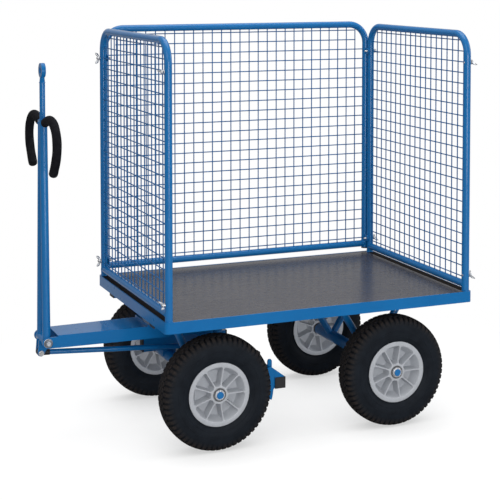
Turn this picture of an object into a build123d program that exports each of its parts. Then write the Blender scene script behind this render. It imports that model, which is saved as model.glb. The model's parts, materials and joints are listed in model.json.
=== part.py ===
from build123d import *
import math
import os

# Platform trolley with turntable steering, mesh walls on three sides, and a
# drawbar whose handle works the parking brake.
# Frame of reference: origin on the floor under the middle of the deck, +Z up,
# the drawbar points to -X (front), the open loading side is -Y (left-hand side).
# Throughout, `end` is -1 at the front and +1 at the rear; `side` is -1 on the
# left and +1 on the right.

os.makedirs("parts", exist_ok=True)

# ---------------------------------------------------------------- deck
DECK_L = 1200.0          # outer length of the angle frame
DECK_W = 800.0           # outer width of the angle frame
FRAME_TOP = 479.0        # top edge of the frame above the floor
FRAME_H = 40.0           # height of the upright leg
FRAME_T = 4.0            # thickness of the upright leg
FRAME_R = 16.0           # radius of the upright corners
LEDGE_Z = 456.0          # underside of the inward ledge that carries the board
LEDGE_T = 4.0
LEDGE_W = 30.0
BOARD_T = 18.0           # plywood thickness
BEARER_Y = 240.0         # centre of each longitudinal bearer
BEARER_W = 50.0
BEARER_H = 30.0
BEARER_T = 3.0
CAP_T = 3.0              # thickness of a bearer plug's head
PLUG_DEPTH = 12.0        # how far any plug reaches into its tube
PLUG_FIT = 0.05          # gap between a plug and its tube's wall

FRAME_BOT = FRAME_TOP - FRAME_H
BOARD_Z = LEDGE_Z + LEDGE_T
BEARER_BOT = LEDGE_Z - BEARER_H

# ---------------------------------------------------------------- walls
TUBE_R = 13.45           # 26.9 mm tube, for the walls and the struts
TUBE_WALL = 2.0
LOW_TUBE_R = TUBE_R - 0.1    # lower cross tubes are slightly thinner
POST_INSET = 18.5        # post centre from the frame's outer face
POST_FOOT = FRAME_BOT + 4
END_TOP = 1431.0         # centre of an end wall's top tube
END_LOW = 502.5          # centre of an end wall's lower tube
SIDE_RISE = 7.5          # the side wall sits this much higher
BEND_R = 76.0            # bend radius at the tube's centre line
SIDE_IN = 11.5           # side wall post centre, inboard of the end wall post in X
SIDE_OUT = 27.5          # side wall post centre, outboard of the end wall post in Y
WIRE_R = 1.5             # 3 mm wire
WIRE_OFF = 1.51          # each wire layer sits this far from the wall's mid plane
PITCH = 40.0             # mesh opening pitch
ROWS = 23                # horizontal wires in a wall
SCREW_R = 4.0            # M8 wing screw
SCREW_HOLE_R = SCREW_R + 0.1
SCREW_LEVELS = (1327.0, 536.0)

POST_X = DECK_L / 2 - POST_INSET
POST_Y = DECK_W / 2 - POST_INSET
POSTS = [(end * POST_X, side * POST_Y) for end in (-1, 1) for side in (-1, 1)]

# ---------------------------------------------------------------- wheels
TYRE_R = 202.0
AXLE_Z = TYRE_R
FRONT_X = -395.0         # front axle, and the turntable's centre
REAR_X = 298.0
WHEEL_Y = 330.0          # middle of each tyre
RIM_R = 103.0            # bead seat
FLANGE_R = 112.0
HUB_R = 30.0
HUB_HALF = 46.0
BEARING_R = 23.5
STUB_R = 12.5
RUN = 0.05               # running clearance on radius
AXLE_TUBE_R = 22.5
SPOKES = 9
STRUT_Y = 165.0
STRUT_SLOPE = 0.625      # rear struts: lengthways run per unit of height
RAIL_W = 30.0            # rectangular rails of the bogie, over the front axle
RAIL_BOT = 226.0
RAIL_TOP = 276.0
RAIL_T = 3.0
RAIL_FRONT = -497.0
RAIL_REAR = -166.0
RAIL_CAP_T = 6.0
STRUT_FOOT = 33.0        # front struts: distance from the axle at the rails
STRUT_HEAD = 82.0        # and at the bogie plate

# ---------------------------------------------------------------- turntable
RACE_R = 130.0           # ball circle
RACE_IN = 112.0
RACE_OUT = 152.0
RACE_GAP = 0.5           # each race stops this far from the ball centres
BALL_R = 5.0
BALLS = 24
TOP_PLATE_Z = 416.0      # underside of the top plate
BOGIE_Z = 384.0          # underside of the bogie plate
BOGIE_T = 8.0
BOGIE_TOP = BOGIE_Z + BOGIE_T
BALL_Z = (BOGIE_TOP + TOP_PLATE_Z) / 2
KING_R = 10.0
KING_FIT = 0.06          # clearance on radius below the top plate
RING_BOLTS = 8
RING_BOLT_R = 3.0
RING_HOLE_R = 3.2
RING_BOLT_CIRCLE = 143.0     # radius of the bolt circle

# ---------------------------------------------------------------- drawbar
ARM_TOP = BOGIE_Z
ARM_BOT = 339.0
ARM_T = 5.0              # flange thickness
ARM_WEB_T = 4.0
ARM_NOSE_X = -884.0
ARM_TAIL_X = -330.0
ARM_HALF_FRONT = 64.5
ARM_HALF_REAR = 80.0
PIVOT_X = -919.0
PIVOT_Z = 359.0
SLEEVE_R = 17.0
SLEEVE_HALF = 57.5
BOLT_R = 8.0
LEG_R = 14.0
LEG_WALL = 2.5
BAR_R = 10.0
TOP_X = -917.0           # handle bar, grips and tow eye
LEG_TOP = 1135.0
EYE_Z = 1315.0
EYE_R = 26.0
EYE_HOLE = 11.5
EYE_T = 15.0
NECK_Z = 1272.0          # joint between the handle bar and the tow eye
GRIP_R = 16.0
GRIP_ROD_R = 7.0
PIN_X = -933.0           # pin that joins the lever to the brake rod
PIN_Z = 313.0
PIN_R = 6.0

# ---------------------------------------------------------------- brake
HANG_X = -290.0          # pivot of the brake hangers
HANG_Z = 370.0
HANG_R = 8.0
BRACKET_Y = 100.0
BRACKET_T = 8.0
BEAM_X = -137.0
BEAM_Z = 196.0
BEAM_S = 40.0
BEAM_T = 3.0
BEAM_HALF = 306.0
LUG_X = -283.0           # rear pin of the brake rod
LUG_Z = 270.4
ROD_RATIO = -1.012       # turn of the rod against the handle, per unit of handle turn
SWING_RATIO = 0.3875     # turn of the brake beam, per unit of handle turn
ROD_R = 9.5
SHOE_GAP = 1.0


# ---------------------------------------------------------------- helpers
# Sketches made in these helpers are passed to extrude or sweep by name.
def level(x, y, z):
    """Horizontal plane facing up."""
    return Plane(origin=(x, y, z), z_dir=(0, 0, 1))


def sideways(x, y, z, side):
    """Upright plane facing +Y or -Y."""
    return Plane(origin=(x, y, z), z_dir=(0, side, 0))


def profile(x, y, z):
    """Plane whose sketch axes are global X and Z; it extrudes towards -Y."""
    return Plane(origin=(x, y, z), x_dir=(1, 0, 0), z_dir=(0, -1, 0))


def bar(start, stop, radius, mode=Mode.ADD):
    """Round bar between two points."""
    run = Vector(*stop) - Vector(*start)
    with BuildSketch(Plane(origin=start, z_dir=tuple(run))) as section:
        Circle(radius)
    extrude(section.sketch, amount=run.length, mode=mode)


def cross_bar(x, z, half, radius, mode=Mode.ADD):
    """Round bar along Y, centred on the trolley's middle."""
    bar((x, -half, z), (x, half, z), radius, mode)


def block(corner, opposite, mode=Mode.ADD):
    """Rectangular block between two opposite corners."""
    size = [abs(b - a) for a, b in zip(corner, opposite)]
    with Locations(tuple((a + b) / 2 for a, b in zip(corner, opposite))):
        Box(*size, mode=mode)


def side_plate(points, y, thickness):
    """Plate with an (x, z) outline, centred on y."""
    with BuildSketch(profile(0, y + thickness / 2, 0)) as outline:
        with BuildLine():
            Polyline(*points, close=True)
        make_face()
    extrude(outline.sketch, amount=thickness)


def strap(first, second, y, thickness):
    """Flat strap round two (x, z, radius) circles, centred on y."""
    with BuildSketch(profile(0, y + thickness / 2, 0)) as outline:
        for x, z, radius in (first, second):
            with Locations((x, z)):
                Circle(radius)
        make_hull()
    extrude(outline.sketch, amount=thickness)


def hexagon(plane, across, height):
    """Hexagon of the given width across flats."""
    with BuildSketch(plane) as outline:
        RegularPolygon(across / 2, 6, major_radius=False)
    extrude(outline.sketch, amount=height)


def disc(plane, radius, height, mode=Mode.ADD):
    with BuildSketch(plane) as outline:
        Circle(radius)
    extrude(outline.sketch, amount=height, mode=mode)


def ring(plane, r_out, r_in, height):
    with BuildSketch(plane) as outline:
        Circle(r_out)
        Circle(r_in, mode=Mode.SUBTRACT)
    extrude(outline.sketch, amount=height)


def box_tube(x0, x1, y, width, z0, z1, wall):
    """Rectangular tube along X with open ends."""
    half = width / 2
    block((x0, y - half, z0), (x1, y + half, z1))
    block((x0, y - half + wall, z0 + wall), (x1, y + half - wall, z1 - wall), Mode.SUBTRACT)


def box_plug(x, out, head, y, width, z0, z1, wall):
    """Plug for the end at x of a box_tube; out is the sign of the outward direction."""
    half = width / 2
    inset = wall + PLUG_FIT
    block((x, y - half, z0), (x + out * head, y + half, z1))
    block((x - out * PLUG_DEPTH, y - half + inset, z0 + inset), (x, y + half - inset, z1 - inset))


def strut_tubes(ends):
    """Round tubes between pairs of points, hollowed once all are joined."""
    for foot, head in ends:
        bar(foot, head, TUBE_R)
    for foot, head in ends:
        bar(foot, head, TUBE_R - TUBE_WALL, Mode.SUBTRACT)


def trim(x, z0, z1):
    """Cut away everything near x between two levels."""
    block((x - 300, -300, z0), (x + 300, 300, z1), Mode.SUBTRACT)


def bolt_circle(z, radius, height, mode=Mode.ADD):
    """Cylinders centred at level z on the turntable's bolt circle."""
    with Locations((FRONT_X, 0, z)):
        with PolarLocations(RING_BOLT_CIRCLE, RING_BOLTS, start_angle=22.5):
            Cylinder(radius, height, mode=mode)


def save(piece, name):
    piece.part.label = name
    export_step(piece.part, "parts/" + name + ".step")


# ================================================================ deck
DECK_SCREW_R = 2.5
DECK_HOLE_R = 2.6
DECK_SCREWS = (
    [(x, y) for x in (-570.0, 570.0) for y in (-310.0, -110.0, 110.0, 310.0)]
    + [(x, y) for x in (-450.0, -150.0, 150.0, 450.0) for y in (-381.0, 381.0)]
)
INNER_L = DECK_L - 2 * FRAME_T
INNER_W = DECK_W - 2 * FRAME_T
INNER_R = FRAME_R - FRAME_T

with BuildPart() as deck_frame:
    with BuildSketch(Plane.XY.offset(FRAME_BOT)):
        RectangleRounded(DECK_L, DECK_W, FRAME_R)
        RectangleRounded(INNER_L, INNER_W, INNER_R, mode=Mode.SUBTRACT)
    extrude(amount=FRAME_H)
    with BuildSketch(Plane.XY.offset(LEDGE_Z)):
        RectangleRounded(INNER_L, INNER_W, INNER_R)
        Rectangle(INNER_L - 2 * LEDGE_W, INNER_W - 2 * LEDGE_W, mode=Mode.SUBTRACT)
    extrude(amount=LEDGE_T)
    # sockets under the ledge take the feet of the end walls
    for x, y in POSTS:
        socket_z = FRAME_BOT + 1
        ring(level(x, y, socket_z), TUBE_R + 0.9, TUBE_R - 2.5, LEDGE_Z - socket_z)
        disc(level(x, y, POST_FOOT), TUBE_R + 0.05, 60, Mode.SUBTRACT)
    with Locations(*[(x, y, LEDGE_Z) for x, y in DECK_SCREWS]):
        Cylinder(DECK_HOLE_R, 20, mode=Mode.SUBTRACT)
save(deck_frame, "deck_frame")

BOARD_FIT = 0.5          # gap between the board and the frame
with BuildPart() as deck_board:
    with BuildSketch(Plane.XY.offset(BOARD_Z)):
        RectangleRounded(INNER_L - 2 * BOARD_FIT, INNER_W - 2 * BOARD_FIT, INNER_R - BOARD_FIT)
        with Locations(*POSTS):
            Circle(TUBE_R + 0.4, mode=Mode.SUBTRACT)
    extrude(amount=BOARD_T)
    # blind screw holes from below
    with BuildSketch(Plane.XY.offset(BOARD_Z)):
        with Locations(*DECK_SCREWS):
            Circle(DECK_HOLE_R)
    extrude(amount=13, mode=Mode.SUBTRACT)
save(deck_board, "deck_board")

DECK_HEAD_R = 5.0
DECK_HEAD_H = 3.0
DECK_SHANK_H = 15.0
with BuildPart() as deck_screws:
    with Locations(*[(x, y, LEDGE_Z - DECK_HEAD_H / 2) for x, y in DECK_SCREWS]):
        Cylinder(DECK_HEAD_R, DECK_HEAD_H)
    with Locations(*[(x, y, LEDGE_Z + DECK_SHANK_H / 2) for x, y in DECK_SCREWS]):
        Cylinder(DECK_SCREW_R, DECK_SHANK_H)
save(deck_screws, "deck_screws")

# flat bars across the frame, level with the ledge, under the board
FLAT_HALF = DECK_W / 2 - FRAME_T - LEDGE_W
FLAT_W = 60.0
with BuildPart() as cross_flats:
    for x in (-300.0, 0.0, 300.0):
        block((x - FLAT_W / 2, -FLAT_HALF, LEDGE_Z), (x + FLAT_W / 2, FLAT_HALF, BOARD_Z))
save(cross_flats, "cross_flats")

# ================================================================ bearers
BEARER_HALF = DECK_L / 2 - FRAME_T - CAP_T
BEARER_SECTION = (BEARER_W, BEARER_BOT, LEDGE_Z, BEARER_T)
with BuildPart() as longitudinal_bearers:
    for side in (-1, 1):
        box_tube(-BEARER_HALF, BEARER_HALF, side * BEARER_Y, *BEARER_SECTION)
save(longitudinal_bearers, "longitudinal_bearers")

with BuildPart() as bearer_caps:
    for end in (-1, 1):
        for side in (-1, 1):
            box_plug(end * BEARER_HALF, end, CAP_T, side * BEARER_Y, *BEARER_SECTION)
save(bearer_caps, "bearer_caps")

# cross members between the bearers, over the rear struts
CROSS_HALF_W = 25.0
CROSS_T = 3.0
CROSS_REACH = BEARER_Y - BEARER_W / 2
with BuildPart() as rear_cross_members:
    for end in (-1, 1):
        x = REAR_X + end * 140
        block((x - CROSS_HALF_W, -CROSS_REACH, BEARER_BOT), (x + CROSS_HALF_W, CROSS_REACH, LEDGE_Z))
        hollow = CROSS_HALF_W - CROSS_T
        block(
            (x - hollow, -CROSS_REACH, BEARER_BOT + CROSS_T),
            (x + hollow, CROSS_REACH, LEDGE_Z - CROSS_T),
            Mode.SUBTRACT,
        )
save(rear_cross_members, "rear_cross_members")


# ================================================================ walls
def hoop(corners, x_dir, radius, mode=Mode.ADD):
    """Inverted U swept from the first corner, bent at the two top corners."""
    with BuildLine() as path:
        Polyline(*corners)
        fillet(path.vertices().sort_by(Axis.Z)[-2:], BEND_R)
    with BuildSketch(Plane(origin=corners[0], x_dir=x_dir, z_dir=(0, 0, 1))) as section:
        Circle(radius)
    sweep(sections=section.sketch, path=path.wire(), mode=mode)


LOW_START = TUBE_R - 0.5     # lower tube's bore starts this far from the post centre
LOW_BORE_R = LOW_TUBE_R - TUBE_WALL


def end_wall(end):
    """Inverted U of round tube with a lower cross tube, standing in two corner sockets."""
    x = end * POST_X
    corners = (
        (x, -POST_Y, POST_FOOT), (x, -POST_Y, END_TOP), (x, POST_Y, END_TOP), (x, POST_Y, POST_FOOT),
    )
    with BuildPart() as frame:
        hoop(corners, (1, 1, 0), TUBE_R)
        cross_bar(x, END_LOW, POST_Y, LOW_TUBE_R)
        hoop(corners, (1, 1, 0), TUBE_R - TUBE_WALL, Mode.SUBTRACT)
        cross_bar(x, END_LOW, POST_Y - LOW_START, LOW_BORE_R, Mode.SUBTRACT)
        for side in (-1, 1):
            y = side * POST_Y
            for z in SCREW_LEVELS:
                bar((x - 20, y, z), (x + 20, y, z), SCREW_HOLE_R, Mode.SUBTRACT)
    return frame


save(end_wall(-1), "front_panel_frame")
save(end_wall(1), "rear_panel_frame")

WIRE_CLEAR = TUBE_R + 0.1    # upright wires end this far from a cross tube's centre
WIRE_END = TUBE_R + 0.05     # horizontal wires end this far from a post's centre
END_CLEAR_LO = END_LOW + WIRE_CLEAR
END_CLEAR_HI = END_TOP - WIRE_CLEAR
ROW_Z0 = END_LOW + TUBE_R + 11.5
END_ROWS = [ROW_Z0 + PITCH * i for i in range(ROWS)]
END_COLS = [-360.0 + PITCH * i for i in range(19)]


def upright_wires(places, low, high):
    """Vertical wires at the (x, y) places."""
    with Locations(*[(x, y, (low + high) / 2) for x, y in places]):
        Cylinder(WIRE_R, high - low)


def end_mesh(end):
    inner_x = end * (POST_X - WIRE_OFF)
    outer_x = end * (POST_X + WIRE_OFF)
    with BuildPart() as mesh:
        # uprights, on the platform side
        upright_wires([(inner_x, y) for y in END_COLS[2:-2]], END_CLEAR_LO, END_CLEAR_HI)
        # the outer uprights stop below the bends
        for col, top in ((1, END_CLEAR_HI - 3), (0, END_ROWS[-2] + 4)):
            pair = (END_COLS[col], END_COLS[-1 - col])
            upright_wires([(inner_x, y) for y in pair], END_CLEAR_LO, top)
        # horizontals, on the outer side; the top two are cut short at the bends
        with Locations(*[(outer_x, 0, z) for z in END_ROWS[:-2]]):
            Cylinder(WIRE_R, 2 * (POST_Y - WIRE_END), rotation=(90, 0, 0))
        for row, half in ((-2, END_COLS[-1] + 3), (-1, END_COLS[-2] + 4)):
            with Locations((outer_x, 0, END_ROWS[row])):
                Cylinder(WIRE_R, 2 * half, rotation=(90, 0, 0))
    return mesh


save(end_mesh(-1), "front_panel_mesh")
save(end_mesh(1), "rear_panel_mesh")

SIDE_X = POST_X - SIDE_IN
SIDE_Y = POST_Y + SIDE_OUT
SIDE_TOP = END_TOP + SIDE_RISE
SIDE_LOW = END_LOW + SIDE_RISE
SIDE_FOOT = 495.0
SIDE_COLS = [-520.0 + PITCH * i for i in range(27)]
SIDE_ROWS = [z + SIDE_RISE for z in END_ROWS]
SIDE_CORNERS = (
    (-SIDE_X, SIDE_Y, SIDE_FOOT), (-SIDE_X, SIDE_Y, SIDE_TOP),
    (SIDE_X, SIDE_Y, SIDE_TOP), (SIDE_X, SIDE_Y, SIDE_FOOT),
)
LUG_FACE = POST_X - TUBE_R - 0.1   # outer face of the side wall's screw lugs
LUG_T = 4.0
SCREW_LUG_R = 14.0
with BuildPart() as side_panel_frame:
    hoop(SIDE_CORNERS, (1, 0, 0), TUBE_R)
    bar((-SIDE_X, SIDE_Y, SIDE_LOW), (SIDE_X, SIDE_Y, SIDE_LOW), LOW_TUBE_R)
    # screw lugs on the posts, reaching behind the end walls' posts
    for end in (-1, 1):
        x0, x1 = sorted((end * LUG_FACE, end * (LUG_FACE - LUG_T)))
        for z in SCREW_LEVELS:
            block((x0, POST_Y, z - SCREW_LUG_R), (x1, POST_Y + 21, z + SCREW_LUG_R))
            bar((x0, POST_Y, z), (x1, POST_Y, z), SCREW_LUG_R)
    hoop(SIDE_CORNERS, (1, 0, 0), TUBE_R - TUBE_WALL, Mode.SUBTRACT)
    bore_x = SIDE_X - LOW_START
    bar((-bore_x, SIDE_Y, SIDE_LOW), (bore_x, SIDE_Y, SIDE_LOW), LOW_BORE_R, Mode.SUBTRACT)
    for end in (-1, 1):
        for z in SCREW_LEVELS:
            inside = (end * (LUG_FACE - 8), POST_Y, z)
            outside = (end * (LUG_FACE + 4), POST_Y, z)
            bar(inside, outside, SCREW_HOLE_R, Mode.SUBTRACT)
save(side_panel_frame, "side_panel_frame")

with BuildPart() as side_panel_mesh:
    wire_low = SIDE_LOW + WIRE_CLEAR
    inner_y = SIDE_Y - WIRE_OFF
    outer_y = SIDE_Y + WIRE_OFF
    upright_wires([(x, inner_y) for x in SIDE_COLS[1:-1]], wire_low, SIDE_TOP - WIRE_CLEAR)
    # the first and last uprights stop below the bends
    outer_cols = (SIDE_COLS[0], SIDE_COLS[-1])
    upright_wires([(x, inner_y) for x in outer_cols], wire_low, SIDE_ROWS[-3] + 4)
    with Locations(*[(0, outer_y, z) for z in SIDE_ROWS[:-2]]):
        Cylinder(WIRE_R, 2 * (SIDE_X - WIRE_END), rotation=(0, 90, 0))
    with Locations(*[(0, outer_y, z) for z in SIDE_ROWS[-2:]]):
        Cylinder(WIRE_R, 2 * (SIDE_COLS[-2] + 4), rotation=(0, 90, 0))
save(side_panel_mesh, "side_panel_mesh")

POST_CAP_T = 5.0
POST_PLUG_H = 10.0
with BuildPart() as side_post_caps:
    for end in (-1, 1):
        with Locations((end * SIDE_X, SIDE_Y, SIDE_FOOT - POST_CAP_T / 2)):
            Cylinder(TUBE_R, POST_CAP_T)
        with Locations((end * SIDE_X, SIDE_Y, SIDE_FOOT + POST_PLUG_H / 2)):
            Cylinder(TUBE_R - TUBE_WALL - PLUG_FIT, POST_PLUG_H)
save(side_post_caps, "side_post_caps")

# wing screws: threaded shank, boss and two wings in one forging
# outline of the wings: (distance out from the boss's seat, height from the screw's axis)
WING = [
    (1.5, -6), (1.5, 6), (8, 13), (12, 21), (17, 25), (23, 24.5),
    (26, 19), (24, 13), (17, 9), (14, 5), (14, -5), (17, -9),
    (24, -13), (26, -19), (23, -24.5), (17, -25), (12, -21), (8, -13),
]
WING_T = 4.2
BOSS_R = 7.0
BOSS_L = 13.0
SHANK_RIGHT = 42.0       # long enough to pass the side wall's lug as well
SHANK_LEFT = 22.0
with BuildPart() as wing_screws:
    for end in (-1, 1):
        seat = end * (POST_X + TUBE_R + 0.05)
        for side in (-1, 1):
            y = side * POST_Y
            shank = SHANK_RIGHT if side > 0 else SHANK_LEFT
            for z in SCREW_LEVELS:
                bar((seat - end * shank, y, z), (seat, y, z), SCREW_R)
                bar((seat, y, z), (seat + end * BOSS_L, y, z), BOSS_R)
                wing_plane = Plane(
                    origin=(seat, y + end * WING_T / 2, z), x_dir=(end, 0, 0), z_dir=(0, -end, 0)
                )
                with BuildSketch(wing_plane) as wing:
                    with BuildLine():
                        Polyline(*WING, close=True)
                    make_face()
                extrude(wing.sketch, amount=WING_T)
save(wing_screws, "wing_screws")

# ================================================================ axles
# inverted-V struts from the rear axle up to the cross members
with BuildPart() as rear_struts:
    rise = BEARER_BOT + 30 - AXLE_Z      # runs past the trim level
    for side in (-1, 1):
        foot = (REAR_X, side * STRUT_Y, AXLE_Z)
        strut_tubes([
            (foot, (REAR_X + end * STRUT_SLOPE * rise, side * STRUT_Y, AXLE_Z + rise))
            for end in (-1, 1)
        ])
    trim(REAR_X, BEARER_BOT, LEDGE_Z + 60)
    trim(REAR_X, AXLE_Z - 60, AXLE_Z)
    cross_bar(REAR_X, AXLE_Z, 300, AXLE_TUBE_R, Mode.SUBTRACT)
save(rear_struts, "rear_struts")

STUB_END = WHEEL_Y + 54.0
SHOULDER = WHEEL_Y - HUB_HALF - 8.0      # end of the thick axle tube
WASHER_BORE_R = STUB_R + 0.02


def axle(x):
    """Round axle tube with a machined stub at each end."""
    with BuildPart() as shaft:
        cross_bar(x, AXLE_Z, SHOULDER, AXLE_TUBE_R)
        cross_bar(x, AXLE_Z, STUB_END, STUB_R)
        chamfer(shaft.edges().filter_by(GeomType.CIRCLE).sort_by(Axis.Y)[0], 1.5)
        chamfer(shaft.edges().filter_by(GeomType.CIRCLE).sort_by(Axis.Y)[-1], 1.5)
    return shaft


def axle_washers(x):
    """Spacer inside each hub, washer and collar outside it."""
    washer_t = 2.5
    with BuildPart() as rings:
        for side in (-1, 1):
            ring(sideways(x, side * (SHOULDER + 0.02), AXLE_Z, side), 19.0, WASHER_BORE_R, 7.6)
            outer = sideways(x, side * (WHEEL_Y + HUB_HALF + 0.3), AXLE_Z, side)
            ring(outer, 22.0, WASHER_BORE_R, washer_t)
            ring(outer.offset(washer_t), 18.5, WASHER_BORE_R, 3.5)
    return rings


for end_name, axle_x in (("rear", REAR_X), ("front", FRONT_X)):
    save(axle(axle_x), end_name + "_axle")
    save(axle_washers(axle_x), end_name + "_axle_washers")

# ================================================================ wheels
# half-sections as (offset from the tyre's middle, radius from the axle)
BEAD_R = RIM_R + 0.05
BEAD_OUT = 39.5
BEAD_IN = 27.0
BEAD_TOP = 114.0         # radius where the straight bead meets the sidewall
TYRE_OUTSIDE = [
    (BEAD_OUT, BEAD_TOP), (46.5, 132), (49.5, 154), (48.0, 176), (42, 192), (28, 199.6),
    (0, TYRE_R),
    (-28, 199.6), (-42, 192), (-48.0, 176), (-49.5, 154), (-46.5, 132), (-BEAD_OUT, BEAD_TOP),
]
TYRE_INSIDE = [
    (-BEAD_IN, BEAD_R), (-36, 128), (-40, 154), (-37, 176), (0, 190),
    (37, 176), (40, 154), (36, 128), (BEAD_IN, BEAD_R),
]
# one rib of the rim: (distance from the axle, half-width) up one side and back
RIB = [
    (26, -5), (58, -4.2), (82, -6.5), (97, -15),
    (97, 15), (82, 6.5), (58, 4.2), (26, 5),
]
RIM_HALF = 44.0
FLANGE_T = 4.0
BARREL_IN_R = 96.0
WEB_R = 97.0
WEB_T = 8.0
RIB_HALF = 40.0
BORE_R = 16.0
BORE_HALF = 60.0         # cutting length, past the hub's faces
BEARING_SEAT = 33.0      # inner face of each bearing, from the wheel's middle
BEARING_W = 12.0


def tyre(x, y):
    section_plane = Plane(origin=(x, y, AXLE_Z), x_dir=(0, 1, 0), z_dir=(1, 0, 0))
    with BuildPart() as body:
        with BuildSketch(section_plane) as section:
            with BuildLine():
                Spline(*TYRE_OUTSIDE, tangents=((0.3, 1), (0.3, -1)))
                Polyline((-BEAD_OUT, BEAD_TOP), (-BEAD_OUT, BEAD_R), (-BEAD_IN, BEAD_R))
                Spline(*TYRE_INSIDE, tangents=((-0.3, 1), (-0.3, -1)))
                Polyline((BEAD_IN, BEAD_R), (BEAD_OUT, BEAD_R), (BEAD_OUT, BEAD_TOP))
            make_face()
        revolve(section.sketch, axis=Axis((x, y, AXLE_Z), (0, 1, 0)))
    return body


def wheel_plane(x, y):
    """Middle plane of a wheel, facing outwards."""
    return Plane(origin=(x, y, AXLE_Z), x_dir=(1, 0, 0), z_dir=(0, 1 if y > 0 else -1, 0))


def rim(x, y):
    """Moulded wheel body: barrel, two flanges, hub, centre web and nine ribs."""
    mid = wheel_plane(x, y)
    with BuildPart() as body:
        ring(mid.offset(-RIM_HALF), RIM_R, BARREL_IN_R, 2 * RIM_HALF)
        ring(mid.offset(-RIM_HALF), FLANGE_R, BARREL_IN_R, FLANGE_T)
        ring(mid.offset(RIM_HALF - FLANGE_T), FLANGE_R, BARREL_IN_R, FLANGE_T)
        disc(mid.offset(-WEB_T / 2), WEB_R, WEB_T)
        disc(mid.offset(-HUB_HALF), HUB_R, 2 * HUB_HALF)
        with BuildSketch(mid.offset(-RIB_HALF)) as ribs:
            with PolarLocations(0, SPOKES):
                Polygon(*RIB, align=None)
            Circle(24, mode=Mode.SUBTRACT)
        extrude(ribs.sketch, amount=2 * RIB_HALF)
        disc(mid.offset(-BORE_HALF), BORE_R, 2 * BORE_HALF, Mode.SUBTRACT)
        disc(mid.offset(BEARING_SEAT), BEARING_R, 20, Mode.SUBTRACT)
        disc(mid.offset(-BORE_HALF), BEARING_R, BORE_HALF - BEARING_SEAT, Mode.SUBTRACT)
    return body


def bearings(x, y):
    mid = wheel_plane(x, y)
    with BuildPart() as rings:
        for offset in (BEARING_SEAT, -BEARING_SEAT - BEARING_W):
            ring(mid.offset(offset), BEARING_R, STUB_R + RUN, BEARING_W)
    return rings


for end_name, wheel_x in (("front", FRONT_X), ("rear", REAR_X)):
    for hand, wheel_y in (("left", -WHEEL_Y), ("right", WHEEL_Y)):
        wheel = end_name + "_" + hand
        save(tyre(wheel_x, wheel_y), wheel + "_tyre")
        save(rim(wheel_x, wheel_y), wheel + "_rim")
        save(bearings(wheel_x, wheel_y), wheel + "_bearings")

# ================================================================ turntable
TOP_PLATE_HALF_L = 170.0
TOP_PLATE_HALF_W = BEARER_Y + BEARER_W / 2
with BuildPart() as turntable_top_plate:
    block(
        (FRONT_X - TOP_PLATE_HALF_L, -TOP_PLATE_HALF_W, TOP_PLATE_Z),
        (FRONT_X + TOP_PLATE_HALF_L, TOP_PLATE_HALF_W, BEARER_BOT),
    )
    fillet(turntable_top_plate.edges().filter_by(Axis.Z), 20)
    disc(level(FRONT_X, 0, TOP_PLATE_Z - 1), KING_R + 0.2, 20, Mode.SUBTRACT)
    bolt_circle(TOP_PLATE_Z, RING_HOLE_R, 40, Mode.SUBTRACT)
save(turntable_top_plate, "turntable_top_plate")


def race(low, high, hole_z):
    """Race ring between two levels, with a ball groove and screw holes."""
    with BuildPart() as body:
        ring(level(FRONT_X, 0, low), RACE_OUT, RACE_IN, high - low)
        with BuildSketch(profile(FRONT_X, 0, BALL_Z)) as groove:
            with Locations((RACE_R, 0)):
                Circle(BALL_R + 0.08)
        revolve(groove.sketch, axis=Axis((FRONT_X, 0, 0), (0, 0, 1)), mode=Mode.SUBTRACT)
        bolt_circle(hole_z, RING_HOLE_R, 60, Mode.SUBTRACT)
    return body


save(race(BALL_Z + RACE_GAP, TOP_PLATE_Z, TOP_PLATE_Z), "turntable_top_ring")
save(race(BOGIE_TOP, BALL_Z - RACE_GAP, BOGIE_Z), "turntable_bottom_ring")

with BuildPart() as turntable_balls:
    with Locations((FRONT_X, 0, BALL_Z)):
        with PolarLocations(RACE_R, BALLS):
            Sphere(BALL_R)
save(turntable_balls, "turntable_balls")


def race_bolts(face_z, out):
    """Race screws with heads on the plate face at face_z; out is +1 up or -1 down."""
    head_h = 5.0
    tip = BALL_Z + out * 1.5
    with BuildPart() as bolts:
        bolt_circle(face_z + out * head_h / 2, 5.5, head_h)
        bolt_circle((face_z + tip) / 2, RING_BOLT_R, abs(face_z - tip))
    return bolts


# screws of the fixed race enter from above, those of the turning race from below
save(race_bolts(BEARER_BOT, 1), "turntable_top_bolts")
save(race_bolts(BOGIE_Z, -1), "turntable_bottom_bolts")

KING_WASHER_R = 18.5
KING_HEAD_GAP = 3.0      # thickness of the washer under the head
KING_ACROSS = 30.0
KING_TIP = 356.0
KING_NUT_Z = 360.0
KING_NUT_H = 16.0
with BuildPart() as king_bolt:
    hexagon(level(FRONT_X, 0, BEARER_BOT + KING_HEAD_GAP), KING_ACROSS, 12.5)
    disc(level(FRONT_X, 0, BEARER_BOT), KING_WASHER_R, KING_HEAD_GAP)
    disc(level(FRONT_X, 0, KING_TIP), KING_R, BEARER_BOT - KING_TIP + 1)
    hexagon(level(FRONT_X, 0, KING_NUT_Z), KING_ACROSS, KING_NUT_H)
    disc(level(FRONT_X, 0, KING_NUT_Z + KING_NUT_H), KING_WASHER_R, 2.9)
save(king_bolt, "king_bolt")

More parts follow.
